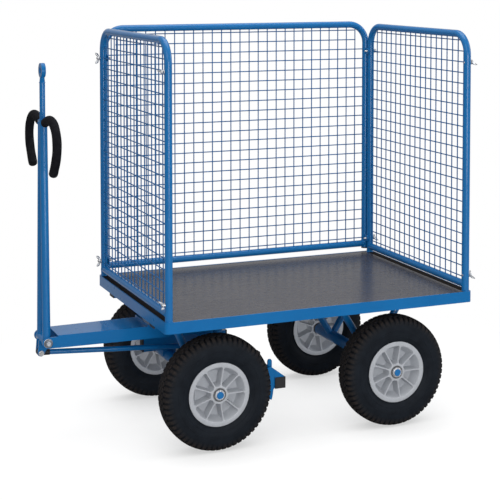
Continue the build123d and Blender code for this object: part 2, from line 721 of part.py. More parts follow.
# ================================================================ bogie
# rectangles that make up the bogie plate: (x from, x to, half-width), x from the king bolt
BOGIE_RECTS = [(-115, 115, 190), (-160, 0, 76), (0, 160, 120)]
with BuildPart() as bogie_plate:
    for x0, x1, half in BOGIE_RECTS:
        block((FRONT_X + x0, -half, BOGIE_Z), (FRONT_X + x1, half, BOGIE_TOP))
    # brackets that carry the brake pivot shaft
    for side in (-1, 1):
        strap((HANG_X, HANG_Z, 16), (HANG_X, BOGIE_Z + 4, 24), side * BRACKET_Y, BRACKET_T)
    block((HANG_X - 60, -200, BOGIE_TOP), (HANG_X + 60, 200, BOGIE_Z + 80), Mode.SUBTRACT)
    disc(level(FRONT_X, 0, BOGIE_Z - 10), KING_R + KING_FIT, 30, Mode.SUBTRACT)
    cross_bar(HANG_X, HANG_Z, 150, HANG_R + 0.03, Mode.SUBTRACT)
    bolt_circle(BOGIE_Z, RING_HOLE_R, 40, Mode.SUBTRACT)
save(bogie_plate, "bogie_plate")

STRUT_EXTRA = 20.0       # struts run this far past each trim level
with BuildPart() as front_struts:
    strut_lean = (STRUT_HEAD - STRUT_FOOT) / (BOGIE_Z - RAIL_TOP)
    foot_run = STRUT_FOOT - STRUT_EXTRA * strut_lean
    head_run = STRUT_HEAD + STRUT_EXTRA * strut_lean
    strut_tubes([
        (
            (FRONT_X + end * foot_run, side * STRUT_Y, RAIL_TOP - STRUT_EXTRA),
            (FRONT_X + end * head_run, side * STRUT_Y, BOGIE_Z + STRUT_EXTRA),
        )
        for side in (-1, 1) for end in (-1, 1)
    ])
    trim(FRONT_X, BOGIE_Z, BOGIE_Z + 90)
    trim(FRONT_X, RAIL_TOP - 90, RAIL_TOP)
save(front_struts, "front_struts")

# two rails under the struts, each with a saddle on the axle tube
RAIL_SECTION = (RAIL_W, RAIL_BOT, RAIL_TOP, RAIL_T)
SADDLE_HALF = 26.0
with BuildPart() as bogie_rails:
    for side in (-1, 1):
        y = side * STRUT_Y
        box_tube(RAIL_FRONT, RAIL_REAR, y, *RAIL_SECTION)
        block(
            (FRONT_X - SADDLE_HALF, y - RAIL_W / 2, AXLE_Z),
            (FRONT_X + SADDLE_HALF, y + RAIL_W / 2, RAIL_BOT + 0.5),
        )
    cross_bar(FRONT_X, AXLE_Z, 300, AXLE_TUBE_R, Mode.SUBTRACT)
save(bogie_rails, "bogie_rails")

with BuildPart() as bogie_rail_caps:
    for side in (-1, 1):
        for x, out in ((RAIL_FRONT, -1), (RAIL_REAR, 1)):
            box_plug(x, out, RAIL_CAP_T, side * STRUT_Y, *RAIL_SECTION)
save(bogie_rail_caps, "bogie_rail_caps")

# ================================================================ drawbar
# channel open downwards, its flanges run on as the fork ears
NOSE_R = 19.5
EAR_T = 6.0
EAR_IN = ARM_HALF_FRONT - EAR_T
with BuildPart() as drawbar_arm:
    with BuildSketch(Plane.XY.offset(ARM_BOT)) as arm_plan:
        with BuildLine():
            Polyline(
                (ARM_NOSE_X, -ARM_HALF_FRONT), (ARM_TAIL_X, -ARM_HALF_REAR),
                (ARM_TAIL_X, ARM_HALF_REAR), (ARM_NOSE_X, ARM_HALF_FRONT), close=True,
            )
        make_face()
    extrude(arm_plan.sketch, amount=ARM_TOP - ARM_BOT)
    hollow_front = ARM_HALF_FRONT - ARM_T - 1
    hollow_rear = ARM_HALF_REAR - ARM_T
    with BuildSketch(Plane.XY.offset(ARM_BOT)) as arm_hollow:
        with BuildLine():
            Polyline(
                (ARM_NOSE_X - 5, -hollow_front), (ARM_TAIL_X + 5, -hollow_rear),
                (ARM_TAIL_X + 5, hollow_rear), (ARM_NOSE_X - 5, hollow_front), close=True,
            )
        make_face()
    extrude(arm_hollow.sketch, amount=ARM_TOP - ARM_BOT - ARM_WEB_T, mode=Mode.SUBTRACT)
    for side in (-1, 1):
        block(
            (PIVOT_X, side * EAR_IN, PIVOT_Z - NOSE_R),
            (ARM_NOSE_X + 0.5, side * ARM_HALF_FRONT, PIVOT_Z + NOSE_R),
        )
        ear_y = side * (EAR_IN + EAR_T / 2)
        strap((PIVOT_X, PIVOT_Z, NOSE_R), (PIVOT_X + 6, PIVOT_Z, NOSE_R), ear_y, EAR_T)
    cross_bar(PIVOT_X, PIVOT_Z, 100, BOLT_R + 0.05, Mode.SUBTRACT)
    disc(level(FRONT_X, 0, ARM_TOP - 20), KING_R + KING_FIT, 40, Mode.SUBTRACT)
    # openings round the heads of the two race screws the arm passes under
    bolt_circle(ARM_TOP, 6.5, 20, Mode.SUBTRACT)
save(drawbar_arm, "drawbar_arm")

PIVOT_WASHER_T = 2.5
with BuildPart() as drawbar_pivot_bolt:
    bar((PIVOT_X, -80, PIVOT_Z), (PIVOT_X, 74, PIVOT_Z), BOLT_R)
    for side in (-1, 1):
        face = sideways(PIVOT_X, side * (ARM_HALF_FRONT + 0.02), PIVOT_Z, side)
        disc(face, 16, PIVOT_WASHER_T)
        hexagon(face.offset(PIVOT_WASHER_T), 24, 9 if side > 0 else 11)
save(drawbar_pivot_bolt, "drawbar_pivot_bolt")

with BuildPart() as brake_pivot_shaft:
    cross_bar(HANG_X, HANG_Z, 112, HANG_R)
    for side in (-1, 1):
        collar_y = side * (BRACKET_Y + BRACKET_T / 2 + 0.02)
        disc(sideways(HANG_X, collar_y, HANG_Z, side), 12, 3)
save(brake_pivot_shaft, "brake_pivot_shaft")

# ================================================================ handle
with BuildPart() as handle_pivot_tube:
    cross_bar(PIVOT_X, PIVOT_Z, SLEEVE_HALF, SLEEVE_R)
    cross_bar(PIVOT_X, PIVOT_Z, 60, BOLT_R + 0.06, Mode.SUBTRACT)
save(handle_pivot_tube, "handle_pivot_tube")

LEG_FOOT_Y = 41.0
LEG_IN = 30.0            # each leg comes in this far between the pivot and LEG_AIM_Z
LEG_AIM_Z = 1125.0
LEG_END_Z = LEG_TOP + 40     # legs are drawn long, then cut off at LEG_TOP
LEG_STRETCH = (LEG_END_Z - PIVOT_Z) / (LEG_AIM_Z - PIVOT_Z)


def leg_bars(radius, mode=Mode.ADD):
    """Both handle legs, converging upwards."""
    for side in (-1, 1):
        foot = (PIVOT_X, side * LEG_FOOT_Y, PIVOT_Z)
        head = (
            PIVOT_X + (TOP_X - PIVOT_X) * LEG_STRETCH,
            side * (LEG_FOOT_Y - LEG_IN * LEG_STRETCH),
            LEG_END_Z,
        )
        bar(foot, head, radius, mode)


# solid legs, used to cut the grips
with BuildPart() as leg_solids:
    leg_bars(LEG_R)

with BuildPart() as handle_legs:
    leg_bars(LEG_R)
    leg_bars(LEG_R - LEG_WALL, Mode.SUBTRACT)
    block((TOP_X - 60, -80, LEG_TOP), (TOP_X + 60, 80, LEG_TOP + 100), Mode.SUBTRACT)
    cross_bar(PIVOT_X, PIVOT_Z, SLEEVE_HALF, SLEEVE_R, Mode.SUBTRACT)
    block((PIVOT_X - 60, -80, PIVOT_Z - 60), (PIVOT_X + 60, 80, PIVOT_Z), Mode.SUBTRACT)
save(handle_legs, "handle_legs")

with BuildPart() as handle_bar:
    bar((TOP_X, 0, LEG_TOP), (TOP_X, 0, NECK_Z), BAR_R)
    # cap plate that closes the legs and carries the bar
    with BuildSketch(Plane.XY.offset(LEG_TOP)) as cap:
        with Locations((TOP_X, -10), (TOP_X, 10)):
            Circle(LEG_R)
        make_hull()
    extrude(cap.sketch, amount=6)
save(handle_bar, "handle_bar")

with BuildPart() as tow_eye:
    bar((TOP_X - EYE_T / 2, 0, EYE_Z), (TOP_X + EYE_T / 2, 0, EYE_Z), EYE_R)
    with BuildSketch(Plane.XY.offset(NECK_Z)) as neck_low:
        with Locations((TOP_X, 0)):
            Circle(BAR_R)
    with BuildSketch(Plane.XY.offset(EYE_Z - 18)) as neck_high:
        with Locations((TOP_X, 0)):
            Ellipse(EYE_T / 2 - 0.3, 15)
    loft(sections=[neck_low.sketch, neck_high.sketch])
    bar((TOP_X - 30, 0, EYE_Z), (TOP_X + 30, 0, EYE_Z), EYE_HOLE, Mode.SUBTRACT)
save(tow_eye, "tow_eye")

# centre line of a grip as (distance out from the middle, height)
GRIP_START = (30, 1131)
GRIP_PATH = [GRIP_START, (101, 1149), (172, 1129), (200, 1079), (192, 1033), (144, 964)]


def grip_sweep(side, r_out, r_in=0):
    """Round section, hollow if r_in is given, swept along one grip's centre line."""
    points = [(TOP_X, side * y, z) for y, z in GRIP_PATH]
    start_dir = (0, side * 1.0, 0.25)
    with BuildSketch(Plane(origin=points[0], z_dir=start_dir)) as section:
        Circle(r_out)
        if r_in:
            Circle(r_in, mode=Mode.SUBTRACT)
    with BuildLine() as line:
        Spline(*points, tangents=(start_dir, (0, -side * 0.62, -0.78)))
    sweep(sections=section.sketch, path=line.wire())


with BuildPart() as grip_rods:
    for side in (-1, 1):
        grip_sweep(side, GRIP_ROD_R)
        # straight root into the leg
        root_end = (TOP_X, side * GRIP_START[0], GRIP_START[1])
        bar((TOP_X, side * 14, 1127), root_end, GRIP_ROD_R)
        # the rod stops short of the sleeve's end
        bar((TOP_X, side * 143.4, 963.2), (TOP_X, side * 149.0, 970.2), 9.0, Mode.SUBTRACT)
    add(leg_solids.part, mode=Mode.SUBTRACT)
    add(handle_bar.part, mode=Mode.SUBTRACT)
save(grip_rods, "grip_rods")

with BuildPart() as grip_sleeves:
    for side in (-1, 1):
        grip_sweep(side, GRIP_R, GRIP_ROD_R + 0.05)
    add(leg_solids.part, mode=Mode.SUBTRACT)
    add(handle_bar.part, mode=Mode.SUBTRACT)
save(grip_sleeves, "grip_sleeves")

# two plates hanging from the pivot tube
LEVER_Y = 15.0
LEVER_T = 6.0
with BuildPart() as brake_lever:
    for side in (-1, 1):
        strap((PIVOT_X, PIVOT_Z, 22), (PIN_X, PIN_Z, 11.5), side * LEVER_Y, LEVER_T)
    block((PIVOT_X - 40, -30, PIVOT_Z), (PIVOT_X + 40, 30, PIVOT_Z + 40), Mode.SUBTRACT)
    cross_bar(PIVOT_X, PIVOT_Z, 60, SLEEVE_R, Mode.SUBTRACT)
    cross_bar(PIN_X, PIN_Z, 60, PIN_R + 0.03, Mode.SUBTRACT)
save(brake_lever, "brake_lever")

with BuildPart() as lever_pin:
    cross_bar(PIN_X, PIN_Z, 24, PIN_R)
    for side in (-1, 1):
        disc(sideways(PIN_X, side * (LEVER_Y + LEVER_T / 2 + 0.05), PIN_Z, side), 10, 4)
save(lever_pin, "lever_pin")

# ================================================================ brake rod
ROD_LEN = math.hypot(LUG_X - PIN_X, LUG_Z - PIN_Z)
ROD_DX = (LUG_X - PIN_X) / ROD_LEN
ROD_DZ = (LUG_Z - PIN_Z) / ROD_LEN
ROD_START = 34.0         # where the rod leaves its front eye


def on_rod(distance):
    """Point on the rod's line, measured from the front pin."""
    return (PIN_X + ROD_DX * distance, 0, PIN_Z + ROD_DZ * distance)


with BuildPart() as rod_eye:
    cross_bar(PIN_X, PIN_Z, 11.5, 12.5)
    bar(on_rod(6), on_rod(ROD_START), 11.0)
    cross_bar(PIN_X, PIN_Z, 30, PIN_R + 0.06, Mode.SUBTRACT)
save(rod_eye, "rod_eye")

# the fork at the rear end, with its pin, straddles the slotted lug of the hangers
FORK_S = ROD_LEN - 52
FORK_Y = 9.25            # middle of each fork cheek
FORK_T = 5.5
with BuildPart() as brake_rod:
    fork_x, _, fork_z = on_rod(FORK_S)
    tip_x, _, tip_z = on_rod(ROD_LEN)
    for side in (-1, 1):
        strap((fork_x + 4, fork_z, 9.0), (tip_x, tip_z, 10.0), side * FORK_Y, FORK_T)
    bar(on_rod(FORK_S - 2), on_rod(FORK_S + 9), 12.0)
    block((fork_x - 40, -20, fork_z - 30), (fork_x, 20, fork_z + 30), Mode.SUBTRACT)
    bar(on_rod(ROD_START), on_rod(FORK_S + 4), ROD_R)
    cross_bar(tip_x, tip_z, 17, 5.0)
save(brake_rod, "brake_rod")

# ================================================================ brake beam


def beam_block(y0, y1, half, mode=Mode.ADD):
    """Square block on the beam's axis."""
    block((BEAM_X - half, y0, BEAM_Z - half), (BEAM_X + half, y1, BEAM_Z + half), mode)


with BuildPart() as brake_beam:
    beam_block(-BEAM_HALF, BEAM_HALF, BEAM_S / 2)
    fillet(brake_beam.edges().filter_by(Axis.Y), 3)
    beam_block(-BEAM_HALF, BEAM_HALF, BEAM_S / 2 - BEAM_T, Mode.SUBTRACT)
save(brake_beam, "brake_beam")

with BuildPart() as brake_beam_caps:
    for side in (-1, 1):
        y = side * BEAM_HALF
        beam_block(y, y + side * 4, BEAM_S / 2)
        beam_block(y - side * PLUG_DEPTH, y, BEAM_S / 2 - BEAM_T - PLUG_FIT)
save(brake_beam_caps, "brake_beam_caps")


# ================================================================ brake hangers
def turned(x, z, degrees):
    """Vector of the (x, z) plane turned about -Y."""
    cosine = math.cos(math.radians(degrees))
    sine = math.sin(math.radians(degrees))
    return x * cosine - z * sine, x * sine + z * cosine


def pin_in_lug(angle):
    """Place of the rod's rear pin, seen from the hangers, at this handle angle."""
    lever_x, lever_z = turned(PIN_X - PIVOT_X, PIN_Z - PIVOT_Z, angle)
    rod_x, rod_z = turned(LUG_X - PIN_X, LUG_Z - PIN_Z, angle * (1 + ROD_RATIO))
    x = PIVOT_X + lever_x + rod_x - HANG_X
    z = PIVOT_Z + lever_z + rod_z - HANG_Z
    x, z = turned(x, z, -angle * SWING_RATIO)
    return HANG_X + x, HANG_Z + z


PIN_PATH = [pin_in_lug(10.0 * i) for i in range(11)]
SLOT_X = (min(x for x, z in PIN_PATH) + max(x for x, z in PIN_PATH)) / 2
SLOT_Z = (min(z for x, z in PIN_PATH) + max(z for x, z in PIN_PATH)) / 2
HANGER_Y = 88.0
HANGER_T = 8.0
BEAM_TOP = BEAM_Z + BEAM_S / 2
HANG_EYE = (HANG_X, HANG_Z, 12.5)
KNEE = (HANG_X + 2, 278.0, 13)
with BuildPart() as brake_hangers:
    for side in (-1, 1):
        # cranked strap: down past the rails, then back to the beam
        strap(HANG_EYE, KNEE, side * HANGER_Y, HANGER_T)
        strap(KNEE, (BEAM_X - 6, BEAM_TOP, 14), side * HANGER_Y, HANGER_T)
    cross_bar(HANG_X, HANG_Z, HANGER_Y + HANGER_T / 2, 12)
    # lug whose slot leaves the rod's pin room to wander as the linkage turns
    strap(HANG_EYE, (SLOT_X, SLOT_Z, 22), 0, 10.0)
    with BuildSketch(profile(0, 10, 0)) as slot:
        with Locations(*PIN_PATH):
            Circle(5.7)
        make_hull()
    extrude(slot.sketch, amount=20, mode=Mode.SUBTRACT)
    cross_bar(HANG_X, HANG_Z, 150, HANG_R + 0.06, Mode.SUBTRACT)
    block((BEAM_X - 60, -150, BEAM_Z - 60), (BEAM_X + 60, 150, BEAM_TOP), Mode.SUBTRACT)
save(brake_hangers, "brake_hangers")

# ================================================================ brake shoes
SHOE_R = TYRE_R + SHOE_GAP
PAD_Y = 306.0            # middle of each pad
PAD_W = 32.0
RIB_OFF = 14.0           # rib centres from the pad's middle
GUSSET_Y = 302.0
GUSSET_T = 6.0
# (x, z) outlines
GUSSET = [
    (-186, 258), (-176, 260), (-117.5, 216), (-157, 216), (-157, 178), (-176, 160), (-184, 170),
]
STOP_LUG = [(-184, 240), (-184, 278), (-180, 284), (-172, 284), (-168, 278), (-168, 240)]


def shoe_arc(y, width, depth, low, high):
    """Arc round the tyre, centred on y; low and high are its rays' heights 400 mm out."""
    with BuildSketch(profile(FRONT_X, y + width / 2, AXLE_Z)) as arc:
        Circle(SHOE_R + depth)
        Circle(SHOE_R, mode=Mode.SUBTRACT)
        with BuildLine(mode=Mode.PRIVATE) as window:
            Polyline((0, 0), (400, low), (400, high), close=True)
        add(make_face(window.edges(), mode=Mode.PRIVATE), mode=Mode.INTERSECT)
    extrude(arc.sketch, amount=width)


with BuildPart() as brake_shoes:
    for side in (-1, 1):
        # curved pad plate
        shoe_arc(side * PAD_Y, PAD_W, 6, -112, 122)
        # two crescent ribs behind the pad
        for y in (PAD_Y - RIB_OFF, PAD_Y + RIB_OFF):
            shoe_arc(side * y, 4, 24, -108, 112)
        # gusset over the beam, and the stop lug on top
        side_plate(GUSSET, side * GUSSET_Y, GUSSET_T)
        side_plate(STOP_LUG, side * GUSSET_Y, GUSSET_T)
    cross_bar(FRONT_X, AXLE_Z, 400, SHOE_R, Mode.SUBTRACT)
    block(
        (BEAM_X - BEAM_S / 2, -340, BEAM_Z - BEAM_S / 2),
        (BEAM_X + BEAM_S / 2 + 10, 340, BEAM_TOP),
        Mode.SUBTRACT,
    )
save(brake_shoes, "brake_shoes")
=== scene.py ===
import bpy
import json
import math
import numpy as np
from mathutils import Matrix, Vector

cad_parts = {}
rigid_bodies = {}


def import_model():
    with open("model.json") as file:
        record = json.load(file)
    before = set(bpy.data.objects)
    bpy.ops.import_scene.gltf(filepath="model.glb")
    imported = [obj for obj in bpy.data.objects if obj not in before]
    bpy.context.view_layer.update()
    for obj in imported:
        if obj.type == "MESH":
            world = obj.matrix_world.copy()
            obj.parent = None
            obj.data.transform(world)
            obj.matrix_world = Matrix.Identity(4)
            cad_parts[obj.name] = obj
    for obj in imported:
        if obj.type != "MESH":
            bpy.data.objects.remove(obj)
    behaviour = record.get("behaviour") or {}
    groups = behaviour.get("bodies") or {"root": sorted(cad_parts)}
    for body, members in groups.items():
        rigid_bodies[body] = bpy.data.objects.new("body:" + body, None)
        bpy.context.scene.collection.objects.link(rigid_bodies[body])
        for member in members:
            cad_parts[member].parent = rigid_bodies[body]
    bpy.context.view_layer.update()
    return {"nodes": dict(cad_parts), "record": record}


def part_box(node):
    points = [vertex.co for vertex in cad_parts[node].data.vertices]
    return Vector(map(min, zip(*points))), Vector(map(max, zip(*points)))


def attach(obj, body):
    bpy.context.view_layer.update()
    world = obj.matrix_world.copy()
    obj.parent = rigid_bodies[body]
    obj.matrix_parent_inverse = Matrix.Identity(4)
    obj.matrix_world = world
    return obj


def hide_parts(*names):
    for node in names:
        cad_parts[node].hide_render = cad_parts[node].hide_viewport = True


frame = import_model()
NODES = frame["nodes"]
TAU = 2 * math.pi
MM = 0.001


# ================================================================ node helpers
class Mat:
    """A node material with a few short cuts."""

    def __init__(self, name):
        self.m = bpy.data.materials.new(name)
        self.m.use_nodes = True
        self.t = self.m.node_tree
        self.t.nodes.clear()
        self.out = self.t.nodes.new("ShaderNodeOutputMaterial")
        self.bsdf = self.t.nodes.new("ShaderNodeBsdfPrincipled")
        self.link(self.bsdf.outputs[0], self.out.inputs[0])
        self.coord = self.t.nodes.new("ShaderNodeTexCoord").outputs["Object"]

    def link(self, a, b):
        self.t.links.new(a, b)

    def put(self, socket, value):
        if isinstance(value, bpy.types.NodeSocket):
            self.link(value, socket)
        elif isinstance(value, (tuple, list)) and len(value) == 3 and len(socket.default_value) == 4:
            socket.default_value = (*value, 1.0)
        else:
            socket.default_value = value

    def set(self, **kw):
        for k, v in kw.items():
            self.put(self.bsdf.inputs[k.replace("_", " ")], v)
        return self

    def scaled(self, sx, sy, sz):
        n = self.t.nodes.new("ShaderNodeMapping")
        n.inputs["Scale"].default_value = (sx, sy, sz)
        self.link(self.coord, n.inputs["Vector"])
        return n.outputs[0]

    def noise(self, scale, detail=4, rough=0.55, vector=None, distortion=0.0):
        n = self.t.nodes.new("ShaderNodeTexNoise")
        self.link(vector or self.coord, n.inputs["Vector"])
        n.inputs["Scale"].default_value = scale
        n.inputs["Detail"].default_value = detail
        n.inputs["Roughness"].default_value = rough
        n.inputs["Distortion"].default_value = distortion
        return n.outputs["Fac"]

    def voronoi(self, scale, feature="F1", vector=None, randomness=1.0):
        n = self.t.nodes.new("ShaderNodeTexVoronoi")
        n.feature = feature
        self.link(vector or self.coord, n.inputs["Vector"])
        n.inputs["Scale"].default_value = scale
        n.inputs["Randomness"].default_value = randomness
        return n.outputs["Distance"]

    def wave(self, scale, axis="X", vector=None, distortion=0.0):
        n = self.t.nodes.new("ShaderNodeTexWave")
        n.bands_direction = axis
        self.link(vector or self.coord, n.inputs["Vector"])
        n.inputs["Scale"].default_value = scale
        n.inputs["Distortion"].default_value = distortion
        return n.outputs["Fac"]

    def ramp(self, fac, *stops):
        n = self.t.nodes.new("ShaderNodeValToRGB")
        self.link(fac, n.inputs["Fac"])
        el = n.color_ramp.elements
        while len(el) < len(stops):
            el.new(0.5)
        for e, (p, c) in zip(el, stops):
            e.position = p
            e.color = (c, c, c, 1) if isinstance(c, (int, float)) else (*c, 1)
        return n.outputs["Color"]

    def math(self, op, a, b=0.0, clamp=False):
        n = self.t.nodes.new("ShaderNodeMath")
        n.operation = op
        n.use_clamp = clamp
        self.put(n.inputs[0], a)
        self.put(n.inputs[1], b)
        return n.outputs[0]

    def mix(self, fac, a, b, blend="MIX"):
        n = self.t.nodes.new("ShaderNodeMix")
        n.data_type = "RGBA"
        n.blend_type = blend
        self.put(n.inputs[0], fac)
        self.put(n.inputs[6], a)
        self.put(n.inputs[7], b)
        return n.outputs[2]

    def bump(self, height, strength, distance, normal=None):
        n = self.t.nodes.new("ShaderNodeBump")
        self.link(height, n.inputs["Height"])
        n.inputs["Strength"].default_value = strength
        n.inputs["Distance"].default_value = distance
        if normal is not None:
            self.link(normal, n.inputs["Normal"])
        return n.outputs[0]

    def bevel(self, radius):
        n = self.t.nodes.new("ShaderNodeBevel")
        n.samples = 4
        n.inputs["Radius"].default_value = radius
        return n.outputs[0]

    def attribute(self, name):
        n = self.t.nodes.new("ShaderNodeAttribute")
        n.attribute_name = name
        return n.outputs["Fac"]

    def edge_mask(self, bevelled):
        """1 on worn edges, 0 on flats."""
        g = self.t.nodes.new("ShaderNodeNewGeometry")
        d = self.t.nodes.new("ShaderNodeVectorMath")
        d.operation = "DOT_PRODUCT"
        self.link(bevelled, d.inputs[0])
        self.link(g.outputs["Normal"], d.inputs[1])
        return self.ramp(self.math("SUBTRACT", 1.0, d.outputs["Value"]), (0.02, 0.0), (0.20, 1.0))


def paint(name, base, deep, rough, peel, edges=True, coat=0.25, front=0.05, blur=0.06):
    """Powder coat: slight cloudiness, orange peel, and on sharp edges a thinner, paler film."""
    m = Mat(name)
    cloud = m.ramp(m.noise(5.0, 3), (0.30, deep), (0.72, base))
    fine = m.noise(160.0, 5)
    colour = m.mix(m.math("MULTIPLY", fine, 0.10), cloud, (base[0] * 1.5, base[1] * 1.25, base[2] * 1.15))
    normal = None
    if edges:
        normal = m.bevel(0.0011)
        worn = m.math("MULTIPLY", m.edge_mask(normal), m.ramp(m.noise(70.0, 4), (0.40, 0.15), (0.62, 0.75)), clamp=True)
        colour = m.mix(m.math("MULTIPLY", worn, 0.45), colour, (base[0] * 4 + 0.05, base[1] * 1.9, base[2] * 1.45))
    r = m.math("ADD", rough, m.math("MULTIPLY", m.math("SUBTRACT", m.noise(28.0, 4), 0.5), 0.16))
    facing = m.t.nodes.new("ShaderNodeLayerWeight")
    facing.inputs["Blend"].default_value = 0.5
    gloss = m.ramp(facing.outputs["Facing"], (0.69, front), (0.79, min(1.0, coat * 4)))
    m.set(Base_Color=colour, Roughness=r, Coat_Weight=gloss, Coat_Roughness=blur, Coat_IOR=2.0, IOR=1.5, Specular_IOR_Level=0.12)
    m.set(Normal=m.bump(m.noise(520.0, 2), peel, 0.00022, normal))
    return m.m


def zinc(name, base, rough):
    """Zinc plate: bright metal with cloudy, slightly bluish patches."""
    m = Mat(name)
    patch = m.ramp(m.noise(130.0, 5), (0.32, tuple(c * 0.72 for c in base)), (0.68, base))
    colour = m.mix(m.ramp(m.noise(38.0, 3), (0.45, 0.0), (0.72, 0.35)), patch, (base[0] * 0.86, base[1] * 0.92, base[2] * 1.02))
    r = m.math("ADD", rough, m.math("MULTIPLY", m.noise(210.0, 4), 0.18))
    n = m.bevel(0.0006)
    m.set(Base_Color=colour, Metallic=0.92, Roughness=r)
    m.set(Normal=m.bump(m.noise(650.0, 3), 0.20, 0.00015, n))
    return m.m


def plastic(name, base, rough, grain, speck=0.12):
    m = Mat(name)
    tone = m.ramp(m.noise(24.0, 4), (0.35, tuple(c * 0.93 for c in base)), (0.65, base))
    dots = m.ramp(m.noise(420.0, 3, 0.7), (0.36, 1.0 - speck * 2), (0.50, 1.0), (0.66, 1.0 + speck))
    colour = m.mix(1.0, tone, dots, "MULTIPLY")
    r = m.math("ADD", rough, m.math("MULTIPLY", m.noise(90.0, 3), 0.12))
    n = m.bevel(0.0008)
    m.set(Base_Color=colour, Roughness=r, IOR=1.48)
    m.set(Normal=m.bump(m.noise(700.0, 2), grain, 0.0002, n))
    return m.m


# ================================================================ materials
BLUE = (0.006, 0.158, 0.430)
BLUE_DEEP = (0.005, 0.138, 0.385)
blue_paint = paint("blue_powder_coat", BLUE, BLUE_DEEP, 0.30, 0.16)
blue_tube = paint("blue_powder_coat_tube", BLUE, BLUE_DEEP, 0.30, 0.12, edges=False, front=0.22, blur=0.16)
blue_wire = paint("blue_wire_coat", (0.010, 0.125, 0.350), (0.008, 0.108, 0.300), 0.36, 0.10, edges=False, coat=0.1)
zinc_mat = zinc("bright_zinc", (0.58, 0.59, 0.61), 0.20)
# three copies of one zinc with painted light: a darker shaded copy for the pivot nut, a bluish copy with a painted
# reflection for the bolt's end, and a paler lit copy, a painted highlight, for the washers and hub retainers
bolt_zinc = zinc("bolt_zinc", (0.30, 0.31, 0.33), 0.24)
zinc_blue_reflection = zinc("bolt_end_zinc", (0.62, 0.66, 0.72), 0.30)
zinc_lit_copy = zinc("pale_zinc_cap", (0.84, 0.85, 0.87), 0.34)
steel_mat = zinc("ground_steel", (0.50, 0.51, 0.53), 0.22)
black_plastic = plastic("black_moulded_plastic", (0.012, 0.012, 0.014), 0.42, 0.10, 0.05)
rim_plastic = plastic("grey_rim_plastic", (0.470, 0.490, 0.525), 0.42, 0.12, 0.05)


def seal_material():
    """Oiled grey steel of the bearing's face."""
    m = Mat("bearing_seal")
    c = m.ramp(m.noise(90.0, 4), (0.35, (0.085, 0.086, 0.090)), (0.7, (0.190, 0.190, 0.195)))
    m.set(Base_Color=c, Roughness=m.math("ADD", 0.35, m.math("MULTIPLY", m.noise(300.0, 3), 0.3)), Metallic=0.35)
    m.set(Normal=m.bump(m.noise(800.0, 2), 0.15, 0.0001, m.bevel(0.0004)))
    return m.m


def black_steel_material():
    m = Mat("blackened_steel")
    c = m.ramp(m.noise(60.0, 5), (0.35, (0.010, 0.010, 0.012)), (0.7, (0.030, 0.030, 0.034)))
    n = m.bevel(0.0008)
    worn = m.math("MULTIPLY", m.edge_mask(n), 0.5)
    m.set(Base_Color=m.mix(worn, c, (0.16, 0.16, 0.17)), Roughness=m.math("ADD", 0.34, m.math("MULTIPLY", m.noise(150.0, 3), 0.2)), Metallic=0.5)
    m.set(Normal=m.bump(m.noise(500.0, 3), 0.25, 0.0002, n))
    return m.m


def deck_material():
    """Phenolic film on plywood: dark brown-grey, satin, with the print of a fine wire screen."""
    m = Mat("phenolic_film_deck")
    grain = m.noise(9.0, 7, 0.68, m.scaled(0.5, 16.0, 1.0), 0.3)
    base = m.ramp(grain, (0.30, (0.0520, 0.0470, 0.0500)), (0.70, (0.0760, 0.0690, 0.0720)))
    patch = m.ramp(m.noise(3.2, 3), (0.35, 0.90), (0.70, 1.10))
    colour = m.mix(1.0, base, patch, "MULTIPLY")
    dust = m.ramp(m.noise(900.0, 2, 0.6), (0.60, 0.0), (0.74, 0.22))
    colour = m.mix(dust, colour, (0.16, 0.15, 0.145))
    # the strips under the end walls' bottom tubes get painted shade: a near-black colour for the shade under the tubes,
    # and they are made duller
    xyz = m.t.nodes.new("ShaderNodeSeparateXYZ")
    m.link(m.coord, xyz.inputs[0])
    under_tube_shade_mask = m.math("GREATER_THAN", m.math("ABSOLUTE", xyz.outputs["X"]), 0.5665)
    colour = m.mix(under_tube_shade_mask, colour, (0.012, 0.008, 0.006))
    scuff = m.ramp(m.noise(14.0, 7, 0.7, m.scaled(1.0, 5.0, 1.0), 1.5), (0.46, 0.0), (0.60, 1.0))
    r = m.math("ADD", 0.20, m.math("MULTIPLY", scuff, 0.06))
    r = m.math("ADD", r, m.math("MULTIPLY", m.noise(240.0, 3), 0.05))
    sx = m.wave(140.0, "X")
    sy = m.wave(140.0, "Y")
    screen = m.math("MULTIPLY", sx, sy)
    r = m.math("ADD", r, m.math("MULTIPLY", under_tube_shade_mask, 0.45))
    m.set(Base_Color=colour, Roughness=r, IOR=1.46, Coat_Weight=0.0, Specular_IOR_Level=m.math("SUBTRACT", 0.5, m.math("MULTIPLY", under_tube_shade_mask, 0.42)))
    m.set(Normal=m.bump(screen, 0.10, 0.00012, m.bump(m.noise(260.0, 3), 0.06, 0.0002)))
    return m.m


def tyre_material():
    """Vulcanised rubber: satin side walls, and dry, dusty brown on the blocks' running faces."""
    m = Mat("tyre_rubber")
    side = m.ramp(m.noise(26.0, 5), (0.30, (0.0055, 0.0078, 0.0120)), (0.72, (0.0098, 0.0135, 0.0195)))
    dusty = m.ramp(m.noise(110.0, 6, 0.65), (0.30, (0.0140, 0.0115, 0.0105)), (0.70, (0.0370, 0.0300, 0.0270)))
    mask = m.attribute("dust")
    worn = m.math("MULTIPLY", mask, m.ramp(m.noise(55.0, 5), (0.25, 0.45), (0.62, 1.0)), clamp=True)
    groove = m.attribute("groove")
    colour = m.mix(worn, side, dusty)
    # painted shade: the grooves are painted darker, for the shade that falls in them
    colour = m.mix(m.math("MULTIPLY", groove, 0.75), colour, (0.0045, 0.0045, 0.0055))
    r = m.math("ADD", 0.50, m.math("MULTIPLY", mask, 0.30))
    r = m.math("ADD", r, m.math("MULTIPLY", m.noise(60.0, 4), 0.12))
    m.set(Base_Color=colour, Roughness=r, IOR=1.42, Specular_IOR_Level=0.16, Sheen_Weight=0.0, Sheen_Roughness=0.6)
    m.set(Normal=m.bump(m.noise(420.0, 4), 0.22, 0.0003, m.bump(m.voronoi(900.0), 0.10, 0.0002)))
    return m.m


